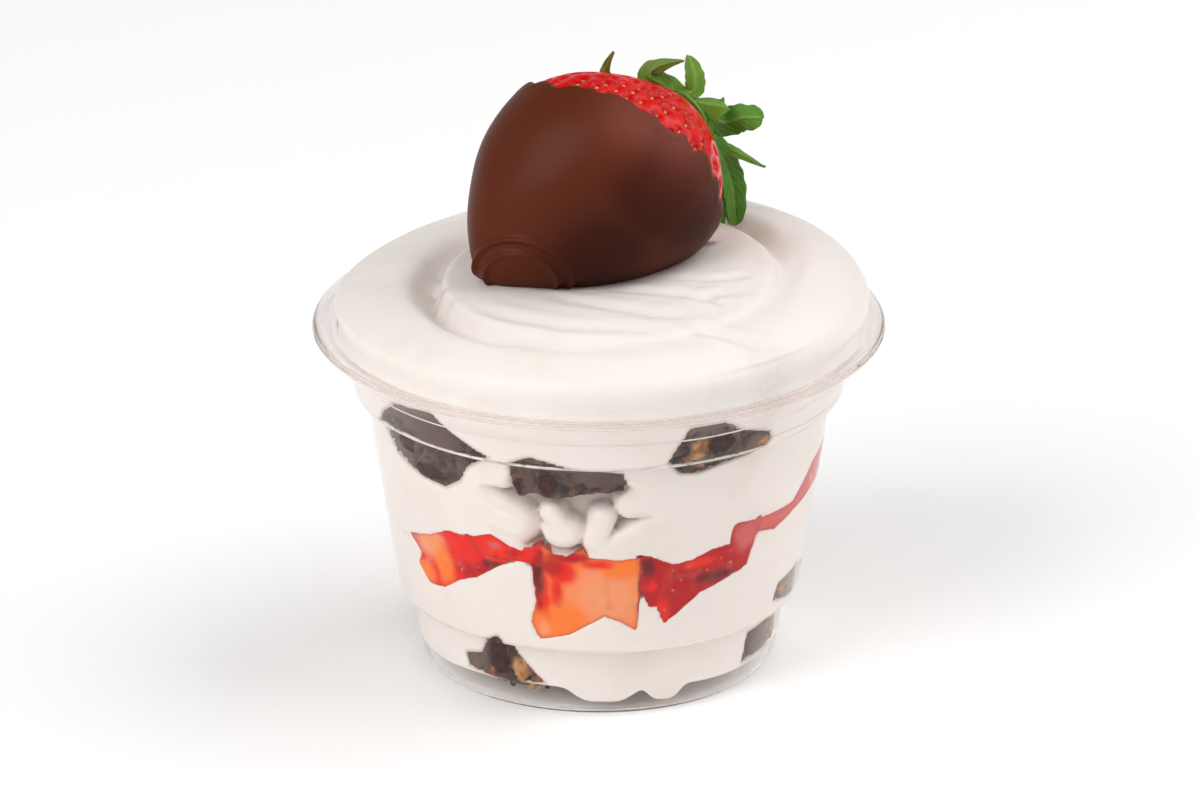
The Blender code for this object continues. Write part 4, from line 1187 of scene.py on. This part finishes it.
def soft_spot(spot, angle, height):
    """The share of a colour that fades out from the middle of its spot."""
    away = off_spot(spot, angle, height)
    if away > 1.8:
        return 0.0
    away += 0.25 * noise.noise(Vector((angle * 0.3, height * 0.5, 7.0)))
    return 1 - eased(away, 0.45, 1.25)


def press_to_wall(mesh, piece, shape_front, loosening):
    """Presses a flat block against the wall. Its front is shaped by shape_front, which is given the
    place on the outline before it was turned, how far inside the outline it is, and the point.
    """
    outline, turn, mirrored, depth = piece
    points = flat_outline(outline, turn, mirrored)
    centre = sum(points, Vector((0, 0))) / len(points)
    for vert in mesh.verts:
        x, y, z = vert.co
        home = math.degrees(x / PLAN_RADIUS) - turn
        inside = inside_by(points, Vector((x, z)))
        front = shape_front(-home if mirrored else home, z, inside, vert)
        back = front if y < 0.01 else y
        taper = 1 - (1 - BACK_TAPER) * unit(y / depth)
        loose = noise.noise_vector(Vector((x * 0.55, y * 0.55, z * 0.55))) * loosening
        loose += noise.noise_vector(Vector((x * 1.6, y * 1.6, z * 1.6))) * (loosening * 0.5)
        x = centre.x + (x - centre.x) * taper + loose.x
        z = centre.y + (z - centre.y) * taper + loose.z
        radius = wall_radius(z) + PIECE_BITE - back + (loose.y if y > 0.01 else 0.0)
        vert.co = (*on_circle(radius, x / PLAN_RADIUS), z)
    bmesh.ops.triangulate(mesh, faces=[face for face in mesh.faces if len(face.verts) > 4])


def brownie_front(outline, layers):
    """Shapes the face of a brownie: crumbs touch the wall here and there, and smooth faces stand
    clear of it.
    """

    def front(home, z, inside, vert):
        shares = {name: 0.0 for name in FACE_PARTS}
        for spot in FACES[outline]:
            shares[spot[4]] = max(shares[spot[4]], hard_spot(spot, home, z))
        place = Vector((math.radians(home) * PLAN_RADIUS, 0.0, z))
        crumb = unit(0.5 + noise.noise(place * 0.7) * 0.9 + noise.noise(place * 1.9) * 0.6)
        # Painted shade: the crumb's colour is lighter where it stands forward and darker where it stands
        # back.
        shares["ridge"] = 1 - crumb
        for name, layer in layers.items():
            vert[layer] = shares[name]
        back = 1.3 * crumb
        back += (0.34 + 0.06 * noise.noise(place * 0.5) - back) * shares["haze"]
        back += (0.02 - back) * shares["glaze"]
        back += (0.25 * abs(noise.noise(place * 1.5)) - back) * shares["nut"]
        return back * eased(inside, 0.0, 0.7) + 0.25 * (1 - eased(inside, 0.0, 0.35))

    return front


def brownie_finish(settings):
    """Dark moist crumb, painted lighter on its ridges and darker in its recesses as shade, with smooth cut
    faces, a red-brown glaze and bits of nut.
    """
    finish = Finish("brownie")
    grain = finish.noise(700, 5, 0.65)
    # Painted shade: lighter on the ridges of the crumb and darker in its recesses, and lighter at random with
    # the grain.
    light = finish.between(finish.attribute("ridge") * 0.5 + grain * 0.7, 0.48, 0.8)
    colour = finish.blend(light, settings.crumb, PALE_AND_LIT_CRUMB)
    # Painted reflection: the smooth faces' grey-brown stands partly for the plastic's reflection.
    haze = finish.blend(finish.patches(160, 0.35, 0.7), settings.haze, LIGHT_FACE)
    glaze = finish.blend(finish.patches(420, 0.4, 0.7), settings.glaze, LIGHT_GLAZE)
    nut = finish.blend(finish.patches(600, 0.35, 0.65), settings.nut, TOASTED_NUT)
    for name, shade in (("haze", haze), ("glaze", glaze), ("nut", nut)):
        colour = finish.blend(finish.attribute(name), colour, shade)
    finish.set(Base_Color=colour, Roughness=0.52 - finish.attribute("glaze") * 0.25)
    finish.set(Specular_IOR_Level=0.35)
    rough = 1 - finish.attribute("haze") * 0.7
    finish.bump((grain + finish.cells(900) * 0.6) * rough, 0.0005, 0.9)
    return finish


def build_brownies(settings):
    finish = brownie_finish(settings)
    for kind, pieces in (("upper", BROWNIES_UPPER), ("lower", BROWNIES_LOWER)):
        for number, piece in enumerate(pieces, 1):
            mesh = gridded_block(piece, BROWNIE_STEP)
            layers = {name: mesh.verts.layers.float.new(name) for name in FACE_PARTS}
            press_to_wall(mesh, piece, brownie_front(piece[0], layers), BROWNIE_LOOSENING)
            name = f"brownie_{kind}_{number}"
            finish_piece(f"baked_{name}", mesh, finish, [name], 60)


def flesh_finish():
    """Wet strawberry flesh: the colours run into each other and fine veins run through them."""
    finish = Finish("strawberry_flesh")
    fibre = finish.noise(1, 3, 0.55, finish.stretched((420, 420, 150)))
    veins = finish.between(fibre, 0.45, 0.72)
    colour = finish.blend(veins * 0.14, finish.attribute("flesh", "Color"), FLESH_VEINS)
    colour = finish.blend(finish.patches(260, 0.5, 0.8) * 0.25, colour, DARK_FLESH)
    finish.set(Base_Color=colour, Roughness=0.22 + finish.noise(500, 2) * 0.15, Specular_IOR_Level=0.13)
    finish.set(Subsurface_Weight=0.2, Subsurface_Scale=0.0015, Subsurface_Radius=(1.0, 0.3, 0.2))
    finish.bump(finish.noise(800, 3) + veins * 0.4 + finish.cells(380) * 0.5, 0.0003, 0.7)
    return finish


def slice_front(outline, layer, palette):
    """Colours the face of a slice with its spots, deeper at the edge, and leaves it nearly flat."""

    def front(home, z, inside, vert):
        colour = palette[BASE_FLESH[outline]]
        for spot in FLESH[outline]:
            colour = colour + (palette[spot[4]] - colour) * soft_spot(spot, home, z)
        rim = 1 - eased(inside, 0.0, 0.8)
        colour = colour + (palette["crimson"] - colour) * (0.55 * rim)
        vert[layer] = (*colour, 1.0)
        place = Vector((math.radians(home) * PLAN_RADIUS, 0.0, z))
        soft = 0.12 * (0.5 + noise.noise(place * 0.5)) * eased(inside, 0.3, 1.5)
        return soft + 0.2 * (1 - eased(inside, 0.0, 0.35))

    return front


def build_slices(settings):
    finish = flesh_finish()
    palette = {name: Vector(getattr(settings, name)) for name in FLESH_COLOURS}
    for number, piece in enumerate(SLICES, 1):
        mesh = gridded_block(piece, SLICE_STEP)
        layer = mesh.verts.layers.float_color.new("flesh")
        press_to_wall(mesh, piece, slice_front(piece[0], layer, palette), SLICE_LOOSENING)
        name = f"strawberry_slice_{number}"
        finish_piece(f"cut_{name}", mesh, finish, [name], 60)


def bead(mesh, place, size, seed):
    """An uneven crumb."""
    made = bmesh.ops.create_icosphere(mesh, subdivisions=2, radius=1.0)
    for vert in made["verts"]:
        rough = 1 + 0.5 * noise.noise(vert.co * 1.7 + Vector((seed, seed * 2, 0)))
        stretch = Vector((1.0, 0.8 + 0.3 * math.sin(seed), 0.75 + 0.2 * math.cos(seed * 3)))
        vert.co = place + vert.co * stretch * (size * rough)


def on_wall(angle, inwards, height):
    """A place inside the cup, given by how far in from the wall it is."""
    return Vector((*on_circle(wall_radius(height) - inwards, math.radians(angle)), height))


def seed_finish(settings):
    finish = Finish("strawberry_seed")
    pale = finish.patches(1500, 0.35, 0.7, 2)
    finish.set(Base_Color=finish.blend(pale, settings.seed, PALE_SEED), Roughness=0.3 + pale * 0.1)
    finish.bump(finish.noise(2500, 2), 0.00005, 0.5)
    return finish


def nut_finish(settings):
    finish = Finish("nut")
    brown = finish.patches(900, 0.4, 0.7)
    finish.set(Base_Color=finish.blend(brown, settings.nut, LOOSE_TOASTED_NUT), Roughness=0.5 + brown * 0.2)
    finish.bump(finish.noise(1200, 3), 0.0002, 0.6)
    return finish


def build_crumbs(brownie, fruit):
    """Crumbs of brownie and nut, and the seeds on the slices."""
    crumbs = bmesh.new()
    for number, (angle, inwards, height, size) in enumerate(BROWNIE_CRUMBS):
        bead(crumbs, on_wall(angle, inwards, height), size, number * 1.7)
    finish_piece("brownie_crumbs", crumbs, brownie_finish(brownie))
    nuts = bmesh.new()
    for number, (angle, inwards, height, size) in enumerate(NUT_CRUMBS):
        bead(nuts, on_wall(angle, inwards, height), size, 4 + number * 2.3)
    finish_piece("nut_crumbs", nuts, nut_finish(brownie))
    seeds = bmesh.new()
    for number, (angle, height) in enumerate(SLICE_SEEDS):
        bead(seeds, on_wall(angle, 0.12, height), 0.28, number * 0.9)
    finish_piece("slice_seeds", seeds, seed_finish(fruit))


def berry_frame():
    """Turns the strawberry's own frame, with its tip at the origin and its axis up, into place."""
    axis = Vector(BERRY_AXIS).normalized()
    across = UP.cross(axis).normalized()
    up = axis.cross(across)
    turn = Matrix((across, up, axis)).transposed().to_4x4()
    return Matrix.Translation(BERRY_TIP) @ turn


def berry_radius(along, turn):
    """The strawberry is fullest near its tip on the upper side, and near its shoulder underneath."""
    side = math.cos(turn - BERRY_UPPER_SIDE)
    widest = 0.59 - 0.09 * side
    share = min(max(along / BERRY_LENGTH, 0.0), 1.0)
    bulge = math.sin(math.pi * share ** (math.log(0.5) / math.log(widest)))
    power = 0.52 + 0.18 * side if share < widest else 0.55 + 0.05 * side
    hump = HUMP_RISE * bell((along - HUMP_PLACE) / HUMP_LENGTH)
    return BERRY_RADIUS * max(bulge, 0.0) ** power + hump * max(math.cos(turn - HUMP_SIDE), 0.0) ** 2


def berry_point(along, turn, inset):
    """A point on the surface, drawn in at right angles by inset, in the strawberry's own frame."""
    step = 0.05
    if along < step:
        return Vector((0, 0, inset))
    if along > BERRY_LENGTH - step:
        return Vector((0, 0, BERRY_LENGTH - inset))
    fall = berry_radius(along - step, turn) - berry_radius(along + step, turn)
    slope = Vector((2 * step, fall)).normalized()
    radius = max(berry_radius(along, turn) - inset * slope.x, 0.0)
    return Vector((*on_circle(radius, turn), along - inset * slope.y))


def dip_line(turn):
    """How far up the axis the chocolate reaches on one side of the strawberry."""
    ragged = 0.55 * math.sin(turn * 19) + 0.5 * noise.noise(Vector((*on_circle(5, turn), 3)))
    fine = noise.noise(Vector((*on_circle(16, turn), 8)))
    return between(DIP_LINE, math.degrees(turn)) + ragged + 0.35 * fine


def seed_spots():
    """The seeds in the bare part of the strawberry, in rings that are set half a step apart."""
    spots = []
    along = SEEDS_FROM
    ring = 0
    while along < BERRY_LENGTH - SEEDS_END:
        around = berry_radius(along, 0.0) * math.tau
        count = max(int(around / SEED_GAP), 5)
        for number in range(count):
            turn = math.tau * (number + 0.5 * (ring % 2)) / count
            turn += 0.05 * math.sin(number * 7.3 + ring)
            spots.append((along + 0.35 * math.sin(number * 4.1 + ring * 2), turn))
        along += SEED_RING_GAP
        ring += 1
    return spots


def skin_finish(settings):
    """Shiny red skin, paler towards the green top, and painted darker in the pits as shade."""
    finish = Finish("strawberry_skin")
    pale = finish.between(finish.attribute("shoulder") + finish.noise(300, 2) * 0.3, 0.75, 1.25)
    colour = finish.blend(finish.patches(240, 0.4, 0.7), settings.skin, LIGHT_SKIN)
    # Painted shade: the pits round the seeds are painted darker.
    colour = finish.blend(finish.attribute("pit") * 0.6, colour, PIT_SHADE)
    colour = finish.blend(pale * 0.4, colour, PALE_SHOULDER)
    finish.set(Base_Color=colour, Roughness=0.12 + finish.noise(700, 2) * 0.1)
    finish.set(Specular_IOR_Level=0.17, Subsurface_Weight=0.05)
    finish.set(Subsurface_Scale=0.001, Subsurface_Radius=(1.0, 0.2, 0.15))
    finish.bump(finish.noise(900, 2), 0.0001, 0.5)
    return finish


def build_strawberry(settings):
    """The strawberry, with a pit round each seed, and the seeds above the chocolate."""
    spots = [(berry_point(along, turn, BERRY_INSET), along, turn) for along, turn in seed_spots()]
    rows = BERRY_ROWS
    line = [(math.sin(math.pi * row / rows) if 0 < row < rows else 0.0, row) for row in range(rows + 1)]
    mesh = spun(line, BERRY_SIDES)
    pits = mesh.verts.layers.float.new("pit")
    shoulders = mesh.verts.layers.float.new("shoulder")
    to_cup = berry_frame()
    for vert in mesh.verts:
        along = BERRY_LENGTH * (1 - math.cos(math.pi * vert.co.z / rows)) / 2
        turn = math.atan2(vert.co.y, vert.co.x)
        pit = 0.0
        if along > SEEDS_FROM - 2:
            place = berry_point(along, turn, BERRY_INSET)
            pit = bell(min((place - spot).length for spot, _, _ in spots) / PIT_WIDTH)
        vert[pits] = pit
        vert[shoulders] = eased(along, BERRY_LENGTH - 6, BERRY_LENGTH)
        vert.co = to_cup @ berry_point(along, turn, BERRY_INSET + PIT_DEPTH * pit)
    finish_piece("whole_strawberry", mesh, skin_finish(settings), ["strawberry"])
    seeds = bmesh.new()
    for spot, along, turn in spots:
        if along < dip_line(turn) + 0.4:
            continue
        made = bmesh.ops.create_icosphere(seeds, subdivisions=2, radius=1.0)
        out = (berry_point(along, turn, 0.0) - berry_point(along, turn, 1.0)).normalized()
        facing = out.to_track_quat("Z", "X").to_matrix().to_4x4()
        size = Matrix.Diagonal((*SEED_SIZE, 1.0))
        move = to_cup @ Matrix.Translation(berry_point(along, turn, BERRY_INSET + 0.7)) @ facing @ size
        bmesh.ops.transform(seeds, matrix=move, verts=made["verts"])
    finish_piece("strawberry_seeds", seeds, seed_finish(settings))


def foot_ridge(place, settings):
    """How far the chocolate stands out in rings near the tip."""
    away = (place - Vector(FOOT)).length
    rise = sum(high * bell((away - at) / half) for at, half, high in FOOT_RINGS)
    rise += 0.35 * (1 - eased(away, 7.1, 9.6))
    return rise * settings.rings


def chocolate_finish(settings):
    """Set chocolate with a soft sheen, painted darker in places as shade and paler in others as sheen."""
    finish = Finish("chocolate")
    # Painted shade: darker patches on the chocolate, with uneven edges.
    broad = finish.between(finish.attribute("thick") + finish.noise(55, 2, 0.4) * 0.5, 0.2, 1.1)
    colour = finish.blend(broad, settings.colour, settings.dark)
    # Painted sheen: a paler colour where the lamp's sheen falls on the chocolate.
    colour = finish.blend(finish.attribute("dull") * 0.38, colour, PAINTED_SHEEN_CHOCOLATE)
    fine = finish.noise(500, 4, 0.6)
    finish.set(Base_Color=colour, Roughness=0.38 + broad * 0.06 + fine * 0.08)
    finish.set(Specular_IOR_Level=0.11)
    finish.bump(finish.noise(120, 2) * 0.7 + fine * 0.1, 0.0003, 0.35)
    return finish


def build_coat(settings):
    """A thin shell of chocolate from the tip up to a ragged line with a round lip."""
    line = [(step / COAT_ROWS, 0.0) for step in range(COAT_ROWS + 1)]
    line += [(step / COAT_INNER_ROWS, 1.0) for step in range(COAT_INNER_ROWS, -1, -1)]
    mesh = spun(line, BERRY_SIDES)
    # Where shade and a sheen are painted on the chocolate.
    layers = {"thick": PAINTED_SHADE_PLACES, "dull": PAINTED_SHEEN_PLACES}
    layers = {mesh.verts.layers.float.new(name): places for name, places in layers.items()}
    to_cup = berry_frame()
    lines = {}
    for vert in mesh.verts:
        share = min(math.hypot(vert.co.x, vert.co.y), 1.0)
        turn = math.atan2(vert.co.y, vert.co.x)
        key = round(turn, 4)
        if key not in lines:
            lines[key] = dip_line(turn)
        along = share**1.25 * lines[key]
        below = lines[key] - along
        lip = max(1 - below / 0.9, 0.0)
        curve = 0.5 * COAT_THICKNESS * (1 - math.sqrt(max(1 - lip * lip, 0.0)))
        if vert.co.z > 0.5:
            inset = COAT_THICKNESS - curve
        else:
            place = to_cup @ berry_point(along, turn, 0.0)
            swell = 0.18 * noise.noise(place * 0.12) + 0.12 * bell((below - 1.2) / 0.9)
            inset = curve - swell - foot_ridge(place, settings)
        vert.co = to_cup @ berry_point(along, turn, inset)
        for layer, places in layers.items():
            vert[layer] = bell(min((vert.co - Vector(spot[:3])).length / spot[3] for spot in places))
    finish_piece("dipped_coat", mesh, chocolate_finish(settings), ["chocolate_coat"])


def hub_frame():
    """Turns the frame of the disc in the middle of the leaves into place."""
    return berry_frame() @ Matrix.Translation((0, 0, BERRY_LENGTH - COAT_THICKNESS + 0.32))


def leaf_foot(number):
    """Where a leaf starts at the edge of the disc, and the direction along that edge."""
    turn = math.radians(FIRST_FOOT + number * 360 / len(LEAVES))
    hub = hub_frame()
    start = hub @ Vector((*on_circle(HUB_RADIUS, turn), 0))
    return start, hub.to_3x3() @ Vector((-math.sin(turn), math.cos(turn), 0))


def along_curve(points, share):
    """A point on the smooth curve through the points, at a share of its length."""
    last = len(points) - 1
    place = unit(share) * last
    i = min(int(place), last - 1)
    t = place - i
    before, start, end = points[max(i - 1, 0)], points[i], points[i + 1]
    after = points[min(i + 2, last)]
    curve = start * 2 + (end - before) * t + (before * 2 - start * 5 + end * 4 - after) * t**2
    return (curve + (start * 3 - before - end * 3 + after) * t**3) / 2


def leaf_frames(number):
    """The middle of a leaf, the direction across it and the one in which it faces, row by row."""
    start, edge = leaf_foot(number)
    points = [start, *(Vector(point) for point in LEAVES[number][0])]
    last = edge
    frames = []
    for row in range(LEAF_ROWS + 1):
        share = row / LEAF_ROWS
        run = (along_curve(points, share + 0.01) - along_curve(points, share - 0.01)).normalized()
        side = run.cross(Vector(LEAVES[number][2])).normalized()
        last = -side if side.dot(last) < 0 else side
        side = edge.lerp(last, min(share / 0.35, 1.0)).normalized()
        frames.append((along_curve(points, share), side, run.cross(side).normalized()))
    return frames


def leaf_half_width(width, blunt, share):
    swell = 0.3 + 0.7 * math.sin(math.pi * (share * 0.75 + 0.1))
    swell = max(swell, min(blunt / 13, 1.0) * eased(share, 0.2, 0.6))
    taper = (1 - share**blunt) ** 0.7 if share < 1 else 0.0
    teeth = 1 + 0.05 * math.sin(share * 40)
    return width / 2 * max(swell * taper * teeth * 1.05, 0.04)


def build_calyx(settings):
    """The green top: leaves that fold along their middle, joined by a small disc."""
    mesh = bmesh.new()
    layers = [mesh.verts.layers.float.new(name) for name in ("across", "along", "pale", "dry")]
    for number, (_, width, _, blunt, fold, pale, dry) in enumerate(LEAVES):
        frames = leaf_frames(number)
        made = bmesh.ops.create_grid(mesh, x_segments=LEAF_COLUMNS, y_segments=LEAF_ROWS, size=1.0)
        for vert in made["verts"]:
            across, share = vert.co.x, (vert.co.y + 1) / 2
            middle, side, face = frames[round(share * LEAF_ROWS)]
            half = leaf_half_width(width, blunt, share)
            lift = fold * half * abs(across) - 0.12 * half * bell(across / 0.12)
            lift += 0.15 * math.sin(share * 9 + number) * across
            vert.co = middle + side * (half * across) + face * lift
            shades = (across, share, pale, dry * eased(share, 0.2, 0.8))
            for layer, shade in zip(layers, shades):
                vert[layer] = shade
    size = HUB_RADIUS + 0.5
    hub = bmesh.ops.create_circle(mesh, cap_ends=True, cap_tris=True, segments=48, radius=size)
    for vert in hub["verts"]:
        vert.co.z = 0.5 * (1 - (vert.co.length / size) ** 2)
    bmesh.ops.transform(mesh, matrix=hub_frame(), verts=hub["verts"])
    made = finish_piece("green_top", mesh, leaf_finish(settings), ["calyx"])
    wall = made.modifiers.new("thickness", "SOLIDIFY")
    wall.thickness = LEAF_THICKNESS * MM
    wall.offset = -1.0


def leaf_finish(settings):
    """Green leaves with a paler rib and veins, yellow and dry at some tips."""
    finish = Finish("strawberry_leaf")
    side = finish.attribute("across")
    rib = 1 - finish.between(side * side, 0.0, 0.02)
    slant = finish.node("ShaderNodeMath", {"operation": "ABSOLUTE"}, {0: side}) * 0.25
    wave = finish.node("ShaderNodeMath", {"operation": "SINE"}, {0: (finish.attribute("along") - slant) * 60})
    veins = finish.between(wave, 0.6, 1.0)
    tone = finish.patches(170, 0.35, 0.7)
    colour = finish.blend(tone, settings.leaf, LIGHT_LEAF)
    colour = finish.blend(finish.attribute("pale") * 0.7, colour, PALE_LEAF)
    colour = finish.blend(rib * 0.5 + veins * 0.25, colour, settings.rib)
    colour = finish.blend(finish.attribute("dry") * 0.75, colour, DRY_LEAF)
    finish.set(Base_Color=colour, Roughness=0.45 + tone * 0.1, Specular_IOR_Level=0.3)
    finish.set(Subsurface_Weight=0.1, Subsurface_Scale=0.001, Subsurface_Radius=(0.6, 1.0, 0.2))
    finish.bump(finish.noise(900, 3) * 0.4 + rib * 0.5 + veins * 0.4, 0.00025, 0.7)
    return finish


def add_lamp(name, place, size, power):
    """An area lamp: a disc of one size, or a rectangle of two."""
    data = bpy.data.lights.new(name, "AREA")
    data.shape = "RECTANGLE" if len(size) == 2 else "DISK"
    data.size = size[0]
    if len(size) == 2:
        data.size_y = size[1]
    data.energy = power
    lamp = add_object(name, data)
    lamp.location = place
    lamp.rotation_euler = (Vector(place) - Vector(LAMP_AIM)).to_track_quat("Z", "Y").to_euler()


def build_sky(strength):
    """A soft sky, brightest near the horizon."""
    world = bpy.data.worlds.new("sky")
    world.use_nodes = True
    tree = world.node_tree
    place = tree.nodes.new("ShaderNodeTexCoord")
    parts = tree.nodes.new("ShaderNodeSeparateXYZ")
    shades = tree.nodes.new("ShaderNodeValToRGB")
    low, high = shades.color_ramp.elements
    low.color = (*SKY_LOW, 1.0)
    high.color = (*SKY_HIGH, 1.0)
    high.position = 0.8
    tree.links.new(place.outputs["Generated"], parts.inputs[0])
    tree.links.new(parts.outputs["Z"], shades.inputs[0])
    tree.links.new(shades.outputs[0], tree.nodes["Background"].inputs["Color"])
    tree.nodes["Background"].inputs["Strength"].default_value = strength
    bpy.context.scene.world = world


def add_camera(settings):
    """The camera looks at a point a little under the rim, from the photograph's elevation."""
    middle = Vector((0, 0, CUP_HEIGHT * MM))
    back = Vector((0, -math.cos(settings.elevation), math.sin(settings.elevation)))
    view_up = Vector((0, math.sin(settings.elevation), math.cos(settings.elevation)))
    aim = middle - view_up * CAMERA_AIM[1] + Vector((CAMERA_AIM[0], 0, 0))
    data = bpy.data.cameras.new("camera")
    data.lens = settings.lens
    data.sensor_width = 36
    camera = add_object("camera", data)
    camera.location = middle + back * settings.distance
    camera.rotation_euler = (camera.location - aim).to_track_quat("Z", "Y").to_euler()
    bpy.context.scene.camera = camera


def build_stage(settings):
    """A pale floor, an even sky and three soft lamps."""
    mesh = bmesh.new()
    bmesh.ops.create_grid(mesh, x_segments=1, y_segments=1, size=FLOOR_SIZE)
    floor = add_object("floor", mesh_data("floor", mesh))
    finish = Finish("floor")
    tone = finish.noise(3, 2) * 0.1
    finish.set(Base_Color=finish.blend(tone, settings.floor, FLOOR_PATCHES))
    finish.set(Roughness=0.7, Specular_IOR_Level=0.2)
    floor.data.materials.append(finish.material)
    build_sky(settings.sky)
    for name, place, size, power in LAMPS:
        add_lamp(name, place, size, power * settings.lamps)
    add_camera(settings)
    bpy.context.scene.view_settings.view_transform = "Standard"


class DESSERT_OT_cup(bpy.types.Operator):
    """Turn the clear cup with its foot, ledges and rolled rim"""

    bl_idname = "dessert.cup"
    bl_label = "Clear cup"

    def execute(self, context):
        build_cup(context.scene.dessert_cup_plastic)
        return {"FINISHED"}


class DESSERT_OT_creams(bpy.types.Operator):
    """Fill the cup with three layers of whipped cream and heap the swirl over its rim"""

    bl_idname = "dessert.creams"
    bl_label = "Whipped cream"

    def execute(self, context):
        build_creams(context.scene.dessert_cup_cream)
        return {"FINISHED"}


class DESSERT_OT_brownies(bpy.types.Operator):
    """Press the pieces of brownie against the wall"""

    bl_idname = "dessert.brownies"
    bl_label = "Brownie pieces"

    def execute(self, context):
        build_brownies(context.scene.dessert_cup_brownie)
        return {"FINISHED"}


class DESSERT_OT_slices(bpy.types.Operator):
    """Lay the strawberry slices between the lower layers of cream"""

    bl_idname = "dessert.slices"
    bl_label = "Strawberry slices"

    def execute(self, context):
        build_slices(context.scene.dessert_cup_fruit)
        return {"FINISHED"}


class DESSERT_OT_crumbs(bpy.types.Operator):
    """Scatter crumbs, bits of nut and the seeds on the slices"""

    bl_idname = "dessert.crumbs"
    bl_label = "Crumbs and seeds"

    def execute(self, context):
        build_crumbs(context.scene.dessert_cup_brownie, context.scene.dessert_cup_fruit)
        return {"FINISHED"}


class DESSERT_OT_strawberry(bpy.types.Operator):
    """Lay the strawberry on the swirl, with its seeds"""

    bl_idname = "dessert.strawberry"
    bl_label = "Strawberry"

    def execute(self, context):
        build_strawberry(context.scene.dessert_cup_fruit)
        return {"FINISHED"}


class DESSERT_OT_chocolate(bpy.types.Operator):
    """Dip the strawberry in chocolate"""

    bl_idname = "dessert.chocolate"
    bl_label = "Chocolate coat"

    def execute(self, context):
        build_coat(context.scene.dessert_cup_chocolate)
        return {"FINISHED"}


class DESSERT_OT_calyx(bpy.types.Operator):
    """Put the green top on the strawberry"""

    bl_idname = "dessert.calyx"
    bl_label = "Green top"

    def execute(self, context):
        build_calyx(context.scene.dessert_cup_fruit)
        return {"FINISHED"}


class DESSERT_OT_stage(bpy.types.Operator):
    """Set up the floor, the lamps and the camera"""

    bl_idname = "dessert.stage"
    bl_label = "Stage"

    def execute(self, context):
        build_stage(context.scene.dessert_cup_stage)
        return {"FINISHED"}


OPERATORS = (
    DESSERT_OT_cup,
    DESSERT_OT_creams,
    DESSERT_OT_brownies,
    DESSERT_OT_slices,
    DESSERT_OT_crumbs,
    DESSERT_OT_strawberry,
    DESSERT_OT_chocolate,
    DESSERT_OT_calyx,
    DESSERT_OT_stage,
)


class DESSERT_PT_panel(bpy.types.Panel):
    """Lists the pieces of the dessert cup and their settings"""

    bl_label = "Dessert cup"
    bl_idname = "DESSERT_PT_panel"
    bl_space_type = "VIEW_3D"
    bl_region_type = "UI"
    bl_category = "Dessert cup"

    def draw(self, context):
        for operator in OPERATORS:
            self.layout.operator(operator.bl_idname)
        for name, group in SETTINGS.items():
            box = self.layout.box()
            for key in group.__annotations__:
                box.prop(getattr(context.scene, name), key)


def register():
    for group in (*SETTINGS.values(), *OPERATORS, DESSERT_PT_panel):
        bpy.utils.register_class(group)
    for name, group in SETTINGS.items():
        setattr(bpy.types.Scene, name, PointerProperty(type=group))


def unregister():
    for name in SETTINGS:
        delattr(bpy.types.Scene, name)
    for group in (DESSERT_PT_panel, *reversed(OPERATORS), *SETTINGS.values()):
        bpy.utils.unregister_class(group)


def main():
    register()
    for operator in OPERATORS:
        family, name = operator.bl_idname.split(".")
        getattr(getattr(bpy.ops, family), name)()


if __name__ == "__main__":
    main()
